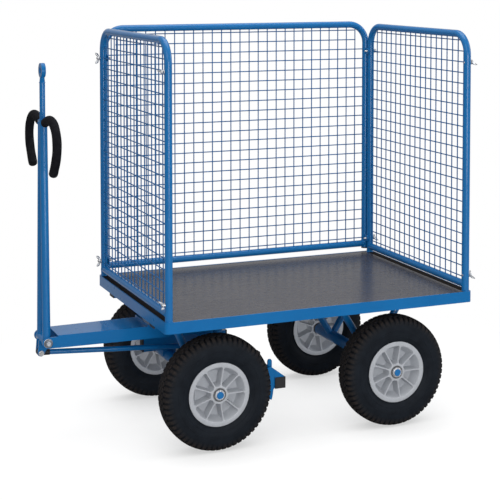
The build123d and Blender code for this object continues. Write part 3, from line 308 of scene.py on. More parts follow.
def foam_material():
    """Closed-cell foam grip: fine pores, dull."""
    m = Mat("grip_foam")
    c = m.ramp(m.noise(70.0, 5), (0.30, (0.0060, 0.0060, 0.0080)), (0.72, (0.0125, 0.0125, 0.0150)))
    pores = m.voronoi(780.0)
    # painted shade: the pores are painted darker, for the shade inside them
    c = m.mix(m.ramp(pores, (0.0, 0.55), (0.35, 0.0)), c, (0.005, 0.005, 0.006))
    m.set(Base_Color=c, Roughness=0.86, IOR=1.35, Specular_IOR_Level=0.15, Sheen_Weight=0.0, Sheen_Roughness=0.5)
    m.set(Normal=m.bump(pores, 0.45, 0.0005, m.bump(m.noise(55.0, 4), 0.30, 0.0012)))
    return m.m


seal_mat = seal_material()
black_steel = black_steel_material()
deck_mat = deck_material()
tyre_mat = tyre_material()
foam_mat = foam_material()

BY_SLOT = {
    "blue_paint": blue_paint, "blue_wire": blue_wire, "deck": deck_mat, "zinc": zinc_mat, "steel": steel_mat,
    "black_plastic": black_plastic, "rim_grey": rim_plastic, "tyre": tyre_mat, "foam": foam_mat, "black_steel": black_steel,
}
SLOT_OF = {s["node"]: s["material_slot"] for s in frame["record"]["subparts"]}
ROUND = (
    "front_panel_frame", "rear_panel_frame", "side_panel_frame", "handle_legs", "handle_bar", "grip_rods", "handle_pivot_tube",
    "front_axle", "rear_axle", "front_struts", "rear_struts", "brake_rod",
)
for name, obj in NODES.items():
    if name.endswith("_panel_mesh"):
        # coat thickness on the bare wire
        skin = obj.modifiers.new("coat_thickness", "DISPLACE")
        skin.strength = 0.0006
        skin.mid_level = 0.0
    mat = BY_SLOT[SLOT_OF[name]]
    if name.endswith("_bearings"):
        mat = seal_mat
    if name in ROUND:
        mat = blue_tube
    if not obj.material_slots:
        obj.data.materials.append(mat)
    for s in obj.material_slots:
        s.material = mat


# ================================================================ mesh helpers
def make(name, verts, faces, mat, body=None, sharp=35.0, attributes=None):
    me = bpy.data.meshes.new(name)
    me.from_pydata(np.asarray(verts, float).tolist(), [], faces)
    me.polygons.foreach_set("use_smooth", np.ones(len(me.polygons), bool))
    me.materials.append(mat)
    for key, values in (attributes or {}).items():
        a = me.attributes.new(key, "FLOAT", "POINT")
        a.data.foreach_set("value", np.asarray(values, np.float32))
    me.update()
    me.set_sharp_from_angle(angle=math.radians(sharp))
    ob = bpy.data.objects.new(name, me)
    bpy.context.scene.collection.objects.link(ob)
    if body:
        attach(ob, body)
    return ob


def grid_faces(nu, nv, close_u=True, close_v=True, start=0, flip=False):
    """Quads of an nu x nv grid whose vertex (i, j) is start + i * nv + j."""
    i = np.arange(nu if close_u else nu - 1)
    j = np.arange(nv if close_v else nv - 1)
    a, b = np.meshgrid(i, j, indexing="ij")
    a2, b2 = (a + 1) % nu, (b + 1) % nv
    q = np.stack([a * nv + b, a2 * nv + b, a2 * nv + b2, a * nv + b2], -1).reshape(-1, 4) + start
    if flip:
        q = q[:, ::-1]
    return q.tolist()


class Soup:
    """Several closed shells gathered into one piece."""

    def __init__(self):
        self.v, self.f = [], []

    def add(self, verts, faces):
        base = len(self.v)
        self.v.extend([tuple(p) for p in verts])
        self.f.extend([tuple(k + base for k in f) for f in faces])

    def tube(self, points, radii, n=10, closed=False, cap=True):
        """Round tube along points; radii is one number or one per point."""
        p = np.asarray(points, float)
        m = len(p)
        r = np.broadcast_to(np.asarray(radii, float), (m,))
        t = (np.roll(p, -1, 0) - np.roll(p, 1, 0)) if closed else np.gradient(p, axis=0)
        t /= np.linalg.norm(t, axis=1)[:, None]
        ref = np.array([0.0, 0.0, 1.0]) if abs(t[0][2]) < 0.9 else np.array([1.0, 0.0, 0.0])
        u = np.cross(t[0], ref)
        u /= np.linalg.norm(u)
        frames = []
        for k in range(m):
            u = u - t[k] * (u @ t[k])
            u /= np.linalg.norm(u)
            frames.append((u, np.cross(t[k], u)))
        a = np.linspace(0, TAU, n, endpoint=False)
        if closed:  # spread the frame's twist over the loop
            u_end = u - t[0] * (u @ t[0])
            u_end /= np.linalg.norm(u_end)
            twist = math.atan2(u_end @ frames[0][1], u_end @ frames[0][0])
        else:
            twist = 0.0
        rings = []
        for k in range(m):
            b = a - twist * k / m
            rings.append(p[k] + r[k] * (np.cos(b)[:, None] * frames[k][0] + np.sin(b)[:, None] * frames[k][1]))
        verts = np.concatenate(rings)
        faces = grid_faces(m, n, close_u=closed, close_v=True, flip=True)
        if not closed and cap:
            faces = list(faces)
            faces.append(list(range(n)))
            faces.append([(m - 1) * n + k for k in range(n - 1, -1, -1)])
        self.add(verts, faces)

    def lathe(self, origin, axis, profile, n=32, wobble=None):
        """Closed profile of (radius, along) pairs turned about axis; profile ends on radius 0 get a pole."""
        axis = np.asarray(axis, float) / np.linalg.norm(axis)
        ref = np.array([0.0, 0.0, 1.0]) if abs(axis[2]) < 0.9 else np.array([1.0, 0.0, 0.0])
        u = np.cross(axis, ref)
        u /= np.linalg.norm(u)
        w = np.cross(axis, u)
        a = np.linspace(0, TAU, n, endpoint=False)
        o = np.asarray(origin, float)
        body = [q for q in profile if q[0] > 1e-9]
        verts = []
        for k in range(n):
            d = math.cos(a[k]) * u + math.sin(a[k]) * w
            for r, h in body:
                if wobble:
                    r, h = wobble(a[k], r, h)
                verts.append(o + d * r + axis * h)
        nv = len(body)
        open_ends = profile[0][0] <= 1e-9
        faces = list(grid_faces(n, nv, True, not open_ends))
        if open_ends:
            verts.append(o + axis * profile[0][1])
            verts.append(o + axis * profile[-1][1])
            s, e = n * nv, n * nv + 1
            for k in range(n):
                k2 = (k + 1) % n
                faces.append([s, k2 * nv, k * nv])
                faces.append([e, k * nv + nv - 1, k2 * nv + nv - 1])
        self.add(verts, faces)

    def piece(self, name, mat, body, sharp=35.0, outward=True):
        ob = make(name, self.v, self.f, mat, None, sharp)
        if outward:
            import bmesh
            bm = bmesh.new()
            bm.from_mesh(ob.data)
            bmesh.ops.recalc_face_normals(bm, faces=bm.faces)
            bm.to_mesh(ob.data)
            bm.free()
            ob.data.set_sharp_from_angle(angle=math.radians(sharp))
        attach(ob, body)
        return ob


def smooth_curve(points, count, start=None, end=None):
    """C2 cubic through the points on chord length, with clamped unit end tangents where given."""
    p = np.asarray(points, float)
    h = np.linalg.norm(np.diff(p, axis=0), axis=1)
    s = np.concatenate([[0], np.cumsum(h)])
    n = len(p)
    A = np.zeros((n, n))
    B = np.zeros((n, p.shape[1]))
    for i in range(1, n - 1):
        A[i, i - 1], A[i, i], A[i, i + 1] = h[i], 2 * (h[i - 1] + h[i]), h[i - 1]
        B[i] = 3 * (h[i] * (p[i] - p[i - 1]) / h[i - 1] + h[i - 1] * (p[i + 1] - p[i]) / h[i])
    if start is not None:
        A[0, 0], B[0] = 1, np.asarray(start, float) / np.linalg.norm(start)
    else:
        A[0, 0], A[0, 1], B[0] = 2, 1, 3 * (p[1] - p[0]) / h[0]
    if end is not None:
        A[-1, -1], B[-1] = 1, np.asarray(end, float) / np.linalg.norm(end)
    else:
        A[-1, -1], A[-1, -2], B[-1] = 2, 1, 3 * (p[-1] - p[-2]) / h[-1]
    m = np.linalg.solve(A, B)
    out = []
    for q in np.linspace(0, s[-1], count):
        i = min(n - 2, int(np.searchsorted(s, q, "right") - 1))
        t = (q - s[i]) / h[i]
        out.append((2 * t**3 - 3 * t**2 + 1) * p[i] + (t**3 - 2 * t**2 + t) * h[i] * m[i] + (3 * t**2 - 2 * t**3) * p[i + 1] + (t**3 - t**2) * h[i] * m[i + 1])
    return np.array(out)


def centre(node):
    lo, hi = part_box(node)
    return (lo + hi) / 2


# ================================================================ tyres
def tyre_mesh():
    """Pneumatic tyre about the Y axis at the origin, in metres: staggered shoulder blocks, zigzag ribs, moulded side wall lines."""
    lugs = 60
    f = np.array([0, .055, .11, .150, .190, .245, .300, .345, .385, .44, .50, .56, .610, .650, .690, .745, .80, .845, .885, .945])
    u = (np.arange(lugs)[:, None] + f[None, :]).ravel()
    theta = u / lugs * TAU
    outer = smooth_curve([(0, 202), (28, 199.6), (42, 192), (48.0, 176), (49.5, 154), (46.5, 132), (39.5, 114)], 900, start=(1, 0), end=(-0.3, -1))
    arc = np.concatenate([[0], np.cumsum(np.linalg.norm(np.diff(outer, axis=0), axis=1))])
    d = np.gradient(outer, axis=0)
    d /= np.linalg.norm(d, axis=1)[:, None]
    normal = np.stack([-d[:, 1], d[:, 0]], 1)  # outward: +y and +r
    s_pos = np.concatenate([
        np.arange(0, 5.0, 1.25), np.arange(5.0, 30.0, 0.9), np.arange(30.0, 70.0, 1.9), np.arange(70, 86, 3.2),
        [86.0, 86.6, 87.4, 88.0], np.arange(91, 105, 3.4), [105.6, 106.2, 107.2, 107.8], np.arange(111, arc[-1] - 1, 3.4), [arc[-1]],
    ])
    s_all = np.concatenate([-s_pos[:0:-1], s_pos])

    def box(x, half, soft):
        return np.clip((half - np.abs(x)) / soft + 0.5, 0, 1)

    rows, dust_rows, groove_rows = [], [], []
    for s in s_all:
        a = abs(s)
        side = 1.0 if s >= 0 else -1.0
        y = np.interp(a, arc, outer[:, 0])
        r = np.interp(a, arc, outer[:, 1])
        ny = np.interp(a, arc, normal[:, 0])
        nr = np.interp(a, arc, normal[:, 1])
        phase = u if side > 0 else u + 0.5
        w = phase % 1.0
        tri = np.abs((u % 1.0) - 0.5) * 4 - 1
        # shoulder grooves across
        across = box(np.abs(w - 0.5) - 0.5, 0.17, 0.045)
        deep = np.interp(a, [22, 24.5, 44, 56, 66, 69], [0, 3.9, 3.1, 1.4, 0.4, 0])
        g = across * deep
        # zigzag grooves round the tread
        g = np.maximum(g, 5.2 * box(a - (22.5 + 1.6 * tri * side), 2.0, 1.1))
        g = np.maximum(g, 4.6 * box(a - (8.6 - 1.5 * tri * side), 1.6, 1.0))
        # notches in the ribs
        notch = box(np.abs(w - 0.5), 0.075, 0.045)
        g = np.maximum(g, 3.2 * notch * box(a - 15.5, 6.5, 1.0))
        g = np.maximum(g, 2.4 * box(np.abs(w - 0.5) - 0.5, 0.07, 0.045) * box(a, 3.6, 1.0))
        # moulded lines on the side wall
        out = 0.0
        for line in (87.0, 106.7):
            if abs(a - line) < 0.75:
                out = 0.7
        off = out - g
        face = np.interp(a, [0, 46, 58, 68], [1.0, 0.95, 0.35, 0.0]) * (1 - np.clip(g / 1.6, 0, 1))
        rows.append(np.stack([(r + off * nr) * np.sin(theta), np.full_like(theta, side * 1.0) * (y + off * ny), (r + off * nr) * np.cos(theta)], 1))
        dust_rows.append(face)
        groove_rows.append(np.clip(g / 3.5, 0, 1))
    # bead and the casing's inside
    inside = smooth_curve([(-27, 103.05), (-36, 128), (-40, 154), (-37, 176), (0, 190), (37, 176), (40, 154), (36, 128), (27, 103.05)], 26, start=(-0.3, 1), end=(-0.3, -1))
    loop = [(-39.5, 108.0), (-39.5, 103.05), (-33, 103.05)] + [tuple(q) for q in inside] + [(33, 103.05), (39.5, 103.05), (39.5, 108.0)]
    # the outer rows run from -arc to +arc, so the closing loop runs back from + to -
    for y, r in loop[::-1]:
        rows.append(np.stack([r * np.sin(theta), np.full_like(theta, y), r * np.cos(theta)], 1))
        dust_rows.append(np.zeros_like(theta))
        groove_rows.append(np.zeros_like(theta))
    P = np.stack(rows, 1) * MM  # (nu, nv, 3)
    nu, nv = P.shape[:2]
    me = bpy.data.meshes.new("tyre_shape")
    me.from_pydata(P.reshape(-1, 3).tolist(), [], grid_faces(nu, nv, flip=True))
    me.polygons.foreach_set("use_smooth", np.ones(len(me.polygons), bool))
    for key, values in (("dust", np.stack(dust_rows, 1)), ("groove", np.stack(groove_rows, 1))):
        at = me.attributes.new(key, "FLOAT", "POINT")
        at.data.foreach_set("value", values.ravel().astype(np.float32))
    me.materials.append(tyre_mat)
    me.update()
    me.set_sharp_from_angle(angle=math.radians(38))
    return me


# ================================================================ rims
def rim_mesh():
    """Moulded rim about the Y axis at the origin: nine thin ribs on each face, recessed web, bored hub, barrel and flanges."""
    ribs = 9
    pitch = TAU / ribs
    offs = np.array([0.5, 1.0, 1.5, 2.1, 2.8, 3.6, 4.6])

    def half_width(r):
        return 2.0 + 1.9 * np.exp(-np.maximum(r - 29.5, 0) / 3.5) + 0.9 * np.exp(-np.maximum(96 - r, 0) / 3.0)

    def columns(r):
        """Distances from a rib's middle line to each column, for half a pocket."""
        half_arc = r * math.sin(pitch / 2)
        h = float(half_width(r))
        k = min(1.0, max(0.1, (0.86 * half_arc - h) / offs[-1]))
        near = [0.0, 0.55 * h, max(h - 0.7, 0.75 * h), h] + [h + k * o for o in offs]
        rest = np.linspace(near[-1], half_arc, 9)[1:]
        return np.array(near + list(rest))

    def angles(r):
        rr = min(max(r, 31.0), 96.0)
        d = columns(rr)
        a = np.arcsin(np.clip(d / rr, -1, 1))
        a[-1] = pitch / 2
        one = np.concatenate([-a[:0:-1], a[:-1]])  # from -pitch/2 up to just short of +pitch/2
        return np.concatenate([one + pitch * k for k in range(ribs)])

    nu = len(angles(50.0))
    r_face = np.concatenate([[30.0, 30.6, 31.2, 31.9, 32.7, 33.6, 34.8], np.arange(36.5, 76, 3.0), np.arange(76, 90, 1.75), np.arange(90, 97.6, 0.95), [98.4]])

    def height(r, ang):
        top = np.interp(r, [30, 34, 44, 86, 95, 98.4], [45.6, 44.6, 42.0, 42.0, 43.4, 43.9])
        off = (ang + pitch / 2) % pitch - pitch / 2
        rib = np.abs(np.sin(off)) * r - half_width(r)
        rib = np.where(np.abs(off) > 1e9, 99, rib)
        outer = 96.2 - r
        hub = r - 30.9

        def corner(a, b, rad):
            return rad - np.hypot(np.maximum(rad - a, 0), np.maximum(rad - b, 0))

        def wall(t, slope, e=0.3):
            return slope * 0.5 * (t - e * 0.4 + np.sqrt((t - e * 0.4) ** 2 + e * e)) - slope * 0.06

        mix_o = np.clip(1 - outer / 8.0, 0, 1)
        c1 = wall(corner(rib, np.full_like(rib, outer), 8.0), 11.0 - 8.0 * mix_o)
        mix_h = np.clip(1 - hub / 5.0, 0, 1)
        c2 = wall(corner(rib, np.full_like(rib, hub), 5.0), 11.0 - 4.0 * mix_h)
        parts = [wall(rib, 11.0), np.full_like(rib, wall(outer, 2.05, 0.5)), np.full_like(rib, wall(hub, 8.0)), c1, c2]
        depth = np.minimum.reduce(parts)
        dmax = top - 7.0
        k = 2.0
        x = np.clip(0.5 + 0.5 * (dmax - depth) / k, 0, 1)
        depth = dmax * (1 - x) + depth * x - k * x * (1 - x)
        return top - np.maximum(depth, 0.0)

    rows = []

    def ring_row(r, y):
        a = angles(r)
        rows.append(np.stack([r * np.cos(a), np.full(nu, y), r * np.sin(a)], 1))

    def face_row(r, sign):
        a = angles(r)
        rows.append(np.stack([r * np.cos(a), sign * height(r, a), r * np.sin(a)], 1))

    # bore, counterbore and hub edge on the outer side (+Y here), then the face
    for r, y in ((16.0, -33.0), (16.0, 0.0), (16.0, 33.0), (23.5, 33.0), (23.5, 44.2), (24.4, 45.6), (25.4, 46.0), (28.6, 46.0)):
        ring_row(r, y)
    for r in r_face:
        face_row(r, 1.0)
    for r, y in ((100.0, 44.0), (109.8, 44.0), (111.2, 43.5), (111.9, 42.4), (111.9, 41.2), (111.2, 40.2), (104.2, 40.0), (102.95, 38.8), (102.95, 0.0),
                 (102.95, -38.8), (104.2, -40.0), (111.2, -40.2), (111.9, -41.2), (111.9, -42.4), (111.2, -43.5), (109.8, -44.0), (100.0, -44.0)):
        ring_row(r, y)
    for r in r_face[::-1]:
        face_row(r, -1.0)
    for r, y in ((28.6, -46.0), (25.4, -46.0), (24.4, -45.6), (23.5, -44.2), (23.5, -33.0)):
        ring_row(r, y)
    P = np.stack(rows, 1) * MM
    nu_, nv = P.shape[:2]
    me = bpy.data.meshes.new("rim_shape")
    me.from_pydata(P.reshape(-1, 3).tolist(), [], grid_faces(nu_, nv, flip=False))
    me.polygons.foreach_set("use_smooth", np.ones(len(me.polygons), bool))
    me.materials.append(rim_plastic)
    me.update()
    me.set_sharp_from_angle(angle=math.radians(42))
    return me


TYRE = tyre_mesh()
RIM = rim_mesh()
for end in ("front", "rear"):
    for hand in ("left", "right"):
        name = end + "_" + hand
        at = centre(name + "_tyre")
        tyre = bpy.data.objects.new(name + "_treaded_tyre", TYRE)
        rim = bpy.data.objects.new(name + "_ribbed_rim", RIM)
        for ob, slot, node in ((tyre, "tyre", "_tyre"), (rim, "rim_grey", "_rim")):
            bpy.context.scene.collection.objects.link(ob)
            ob.location = at
            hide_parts(name + node)
            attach(ob, "wheel_" + name)

# ================================================================ hub retainers: castellated cap ring, washer, inner spacer
for end, body in (("front", "bogie"), ("rear", "chassis")):
    node = end + "_axle_washers"
    lo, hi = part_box(node)
    axis_x, axis_z = (lo[0] + hi[0]) / 2, (lo[2] + hi[2]) / 2
    soup = Soup()
    for side in (-1, 1):
        teeth = 12

        def notch(a, r, h):
            w = (a / TAU * teeth) % 1.0
            cut = 1.0 if 0.36 < w < 0.64 else 0.0
            if r > 0.0145 and h > 0.3775:
                return r - 0.0009 * cut, h - 0.0022 * cut
            return r, h

        o = (axis_x, 0, axis_z)
        prof = [(12.7, 376.5), (12.7, 381.6), (13.3, 382.3), (14.4, 382.4), (15.8, 382.2), (17.6, 380.9), (18.2, 379.6), (18.3, 377.6), (18.3, 376.5)]
        soup.lathe(o, (0, side, 0), [(r * MM, h * MM) for r, h in prof], 96, notch)
        prof = [(12.7, 276.1), (12.7, 283.6), (18.6, 283.6), (19.0, 283.2), (19.0, 276.5), (18.6, 276.1)]
        soup.lathe(o, (0, side, 0), [(r * MM, h * MM) for r, h in prof], 40)
    # the retainers take the paler lit copy of the zinc: a painted highlight
    ob = soup.piece(end + "_hub_retainers", zinc_lit_copy, body, 30)
    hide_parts(node)

# ================================================================ foam grips
lo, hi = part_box("grip_sleeves")
gx = (lo[0] + hi[0]) / 2
GRIP = [(101, 1149), (172, 1129), (200, 1079), (192, 1033), (144, 964)]
rng = np.random.default_rng(7)
soup = Soup()
for side in (-1, 1):
    pts = [(gx, side * 0.030, 1.131)] + [(gx, side * y * MM, z * MM) for y, z in GRIP]
    path = smooth_curve(pts, 150, start=(0, side * 1.0, 0.25), end=(0, -side * 0.62, -0.78))
    length = np.concatenate([[0], np.cumsum(np.linalg.norm(np.diff(path, axis=0), axis=1))])
    total = length[-1]
    # the sleeve starts against the weld, and both ends are rounded
    q = np.concatenate([[0.0015, 0.0017, 0.0022, 0.0032, 0.0048, 0.0070, 0.0095], np.linspace(0.0125, total - 0.0100, 110), total + 0.003 - np.array([0.0095, 0.0070, 0.0048, 0.0032, 0.0022, 0.0017, 0.0015])])
    pos = np.stack([np.interp(q, length, path[:, k]) for k in range(3)], 1)
    pos += np.maximum(q - total, 0)[:, None] * np.array([0.0, -side * 0.62, -0.78])
    edge = np.minimum(q - 0.0015, total + 0.0015 - q)
    rr = 0.016 * np.where(edge < 0.010, 0.62 + 0.38 * np.sqrt(np.clip(1 - (1 - edge / 0.010) ** 2, 0, 1)), 1.0)
    # slight unevenness, and shallow creases on the inside of the tight bend
    bend = np.exp(-((q - total * 0.52) / 0.055) ** 2)
    rr = rr - 0.00045 * bend * (0.5 + 0.5 * np.cos(q / 0.0065 * TAU)) - 0.0002 * np.sin(q * 90 + side)
    soup.tube(pos, rr, 28)
grips = soup.piece("foam_grips", foam_mat, "handle", 50)
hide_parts("grip_sleeves")


# ================================================================ wing screws
def wing_screw(soup, at, out, turn):
    """Zinc wing screw: turned boss and two thick rounded wings; the caller adds the plain shank through the post."""
    o = np.array(at, float)
    ax = np.array([out, 0.0, 0.0])
    soup.lathe(o, ax, [(0.0, 0.0), (6.9 * MM, 0.0), (7.4 * MM, 0.6 * MM), (7.2 * MM, 5 * MM), (6.2 * MM, 9.5 * MM), (4.6 * MM, 12.6 * MM), (2.0 * MM, 13.6 * MM), (0.0, 13.8 * MM)], 28)
    e1 = np.array([0.0, math.cos(turn), math.sin(turn)])
    e2 = np.cross(ax, e1)
    for s in (-1, 1):
        # one wing: a bent paddle, thin at its rim
        c = np.array([(3.0, 4.5), (8.0, 7.0), (13.0, 10.5), (17.5, 14.5), (21.0, 18.0), (23.6, 20.8)]) * 0.86 * MM
        wide = np.array([4.4, 5.4, 7.4, 8.6, 7.0, 2.2]) * MM
        thick = np.array([3.8, 3.3, 3.0, 2.8, 2.4, 1.2]) * MM
        path = smooth_curve(c, 16)
        w = np.interp(np.linspace(0, 1, 16), np.linspace(0, 1, 6), wide)
        h = np.interp(np.linspace(0, 1, 16), np.linspace(0, 1, 6), thick)
        n = 14
        a = np.linspace(0, TAU, n, endpoint=False)
        rings = []
        tang = np.gradient(path, axis=0)
        tang /= np.linalg.norm(tang, axis=1)[:, None]
        for k in range(16):
            base = o + e1 * s * path[k, 0] + ax * path[k, 1]
            across = -e1 * s * tang[k, 1] + ax * tang[k, 0]
            rings.append(base + np.cos(a)[:, None] * across * w[k] * 0.62 + np.sin(a)[:, None] * e2 * h[k])
        v = np.concatenate(rings)
        f = list(grid_faces(16, n, False, True))
        f.append(list(range(n)))
        f.append([15 * n + k for k in range(n - 1, -1, -1)])
        soup.add(v, f)


soup = Soup()
lo_p, hi_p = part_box("front_panel_frame")
lo_r, hi_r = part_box("rear_panel_frame")
post_y = hi_p[1] - 13.45 * MM
turns = [0.12, 0.50, 1.52, 1.45, 0.40, 0.60, 0.30, 0.45]
k = 0
for sx, x0 in ((-1, lo_p[0] - 0.00005), (1, hi_r[0] + 0.00005)):
    for sy in (-1, 1):
        for z in (1.327, 0.536):
            wing_screw(soup, (x0, sy * post_y, z), sx, turns[k])
            reach = 0.0420 if sy > 0 else 0.0275
            soup.lathe((x0, sy * post_y, z), (-sx, 0, 0), [(0, -0.001), (4 * MM, -0.001), (4 * MM, reach - 0.0012), (3 * MM, reach), (0, reach)], 16)
            k += 1
wings = soup.piece("wing_screw_set", zinc_mat, "chassis", 40)
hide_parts("wing_screws")


# ================================================================ drawbar pivot bolt: washers, hex head and nut, bolt end
soup = Soup()
px, pz = centre("handle_pivot_tube")[0], centre("handle_pivot_tube")[2]
for side in (-1, 1):
    o = (px, 0, pz)
    washer = [(8.2, 64.52), (8.2, 67.0), (15.2, 67.0), (15.9, 66.5), (16.0, 64.9), (15.6, 64.52)]
    soup.lathe(o, (0, side, 0), [(r * MM, h * MM) for r, h in washer], 48)
    # hexagon with turned chamfers, hollowed a little round the bolt's end
    h0, h1 = 67.05, 76.0 if side > 0 else 78.0
    n = 48
    prof = [(0.0, h0), (11.0, h0), (1.00, h0 + 0.8), (1.00, h1 - 1.1), (0.93, h1), (0.80, h1), (0.68, h1 - 0.9), (0.0, h1 - 0.9)]
    verts, faces = [], []
    rows = prof[1:-1]
    for k in range(n):
        t = TAU * k / n + 0.26
        local = (t % (TAU / 6)) - TAU / 12
        flat = 12.0 / math.cos(local)
        for i, (q, h) in enumerate(rows):
            rad = min(flat, 12.9) if i in (1, 2) else (min(flat, 12.0) * (q if q < 2 else 1) if i else min(flat, 12.0) * 0.98)
            verts.append((px + rad * MM * math.cos(t), side * h * MM, pz + rad * MM * math.sin(t)))
    nv = len(rows)
    faces = list(grid_faces(n, nv, True, False))
    verts.append((px, side * h0 * MM, pz))
    verts.append((px, side * (h1 - 0.9) * MM, pz))
    for k in range(n):
        k2 = (k + 1) % n
        faces.append([n * nv, k2 * nv, k * nv])
        faces.append([n * nv + 1, k * nv + nv - 1, k2 * nv + nv - 1])
    soup.add(verts, faces)
    if side < 0:
        end = [(0.0, 76.0), (7.4, 76.0), (7.6, 79.2), (6.6, 80.0), (0.0, 80.0)]
        soup.lathe(o, (0, side, 0), [(r * MM, h * MM) for r, h in end], 32)
soup.lathe((px, 0, pz), (0, 1, 0), [(0, -0.0665), (0.008, -0.0665), (0.008, 0.0665), (0, 0.0665)], 32)
bolt_set = soup.piece("pivot_bolt_set", bolt_zinc, "bogie", 30)
bolt_set.data.materials.append(zinc_lit_copy)
bolt_set.data.materials.append(zinc_blue_reflection)
# the washers get the paler lit copy of the zinc (painted highlight) and the bolt's end gets the bluish copy (painted
# reflection); the nut keeps the darker shaded copy (painted shade)
for poly in bolt_set.data.polygons:
    off = math.hypot(poly.center.x - px, poly.center.z - pz)
    if off > 13.2 * MM or abs(poly.center.y) < 66.9 * MM:
        poly.material_index = 1
    elif off < 7.7 * MM:
        poly.material_index = 2
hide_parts("drawbar_pivot_bolt")


# ================================================================ welds
def ripple(n, r, seed, period):
    a = np.arange(n)
    g = np.random.default_rng(seed)
    return r * (0.90 + 0.16 * np.abs(np.sin(a * math.pi / period)) + 0.05 * g.standard_normal(n))


def joint_curve(origin, along, up, r_small, r_big, n=64):
    """Where a small tube, running from origin along `along`, meets a big tube through origin whose axis is `up` x `along`... in plane."""
    along = np.asarray(along, float) / np.linalg.norm(along)
    axis = np.asarray(up, float) / np.linalg.norm(up)      # the big tube's axis
    lateral = np.cross(along, axis)
    lateral /= np.linalg.norm(lateral)
    in_plane = np.cross(lateral, along)
    a = np.linspace(0, TAU, n, endpoint=False)
    x = r_small * np.cos(a)          # sideways of the big tube's axis
    b = r_small * np.sin(a)
    reach = np.sqrt(np.maximum(r_big**2 - x**2, (0.18 * r_big) ** 2))
    return np.asarray(origin, float) + reach[:, None] * along + x[:, None] * lateral + b[:, None] * in_plane


def plane_curve(base, direction, r, z, n=56):
    """Where a tube running along direction from base meets the level plane z."""
    d = np.asarray(direction, float) / np.linalg.norm(direction)
    y = np.array([0.0, 1.0, 0.0])
    k = np.cross(d, y)
    a = np.linspace(0, TAU, n, endpoint=False)
    p = np.asarray(base, float) + r * np.cos(a)[:, None] * y + r * np.sin(a)[:, None] * k
    t = (z - p[:, 2]) / d[2]
    return p + t[:, None] * d


R = 13.45 * MM
chassis = Soup()
end_low, side_low = 0.5025, 0.5100
for x in (centre("front_panel_frame")[0], centre("rear_panel_frame")[0]):
    for sy in (-1, 1):
        c = joint_curve((x, sy * post_y, end_low), (0, -sy, 0), (0, 0, 1), R, R)
        chassis.tube(c, ripple(64, 0.0019, int(abs(x) * 1000 + sy), 3.2), 8, closed=True)
lo_s, hi_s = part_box("side_panel_frame")
side_y = hi_s[1] - R
for sx in (-1, 1):
    x = (hi_s[0] if sx > 0 else lo_s[0]) - sx * R
    c = joint_curve((x, side_y, side_low), (-sx, 0, 0), (0, 0, 1), R, R)
    chassis.tube(c, ripple(64, 0.0019, 40 + sx, 3.2), 8, closed=True)


def strut_welds(soup, node, axle_node, slope, z_top, seed):
    xc = centre(axle_node)[0]
    zc = centre(axle_node)[2]
    lo_n, hi_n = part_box(node)
    strut_y = hi_n[1] - R
    for sy in (-1, 1):
        for sx in (-1, 1):
            d = np.array([sx * slope, 0.0, 1.0])
            d /= np.linalg.norm(d)
            c = joint_curve((xc, sy * strut_y, zc), d, (0, 1, 0), R, 0.0225)
            soup.tube(c, ripple(64, 0.0021, seed, 3.2), 8, closed=True)
            c = plane_curve((xc, sy * strut_y, zc), d, R, z_top)
            soup.tube(c, ripple(56, 0.0020, seed + 1, 3.2), 8, closed=True)
            seed += 2


strut_welds(chassis, "rear_struts", "rear_axle", 0.625, 0.426 - 0.0005, 60)


def seam(soup, p0, p1, r, seed, n=None):
    """Straight weld seam between two points, with rounded ends."""
    p0, p1 = np.asarray(p0, float), np.asarray(p1, float)
    length = np.linalg.norm(p1 - p0)
    n = n or max(8, int(length / 0.0016))
    t = np.linspace(0, 1, n)
    rr = ripple(n, r, seed, 2.6)
    end = np.minimum(t, 1 - t) * length
    rr *= np.sqrt(np.clip(end / 0.003, 0.02, 1))
    soup.tube(p0 + t[:, None] * (p1 - p0), rr, 7)


# posts into the corner: a small fillet of weld where each post meets the frame's lip
for x in (centre("front_panel_frame")[0], centre("rear_panel_frame")[0]):
    for sy in (-1, 1):
        a = np.linspace(0, TAU, 48, endpoint=False)
        c = np.stack([x + (R + 0.0002) * np.cos(a), sy * post_y + (R + 0.0002) * np.sin(a), np.full(48, 0.4784)], 1)
        chassis.tube(c, ripple(48, 0.0011, int(90 + sy), 3.0), 6, closed=True)
# bearers to the frame ledge and rear cross members to the bearers
lo_b, hi_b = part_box("longitudinal_bearers")
lo_c, hi_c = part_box("rear_cross_members")
for sy in (-1, 1):
    y_in = sy * 0.2151
    for x0, x1 in ((lo_c[0], lo_c[0] + 0.050), (hi_c[0] - 0.050, hi_c[0])):
        seam(chassis, (x0 + 0.002, y_in, 0.4259), (x1 - 0.002, y_in, 0.4259), 0.0019, int(x0 * 999) % 97 + sy)
        for x in (x0, x1):
            seam(chassis, (x, y_in, 0.4275), (x, y_in, 0.4545), 0.0018, int(x * 999) % 89 + sy)
# turntable plate under the bearers
lo_t, hi_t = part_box("turntable_top_plate")
for sy in (-1, 1):
    for x in (lo_t[0], hi_t[0]):
        seam(chassis, (x, sy * 0.222, 0.4262), (x, sy * 0.258, 0.4262), 0.0022, 7 + sy)
chassis.piece("chassis_welds", blue_paint, "chassis", 60)

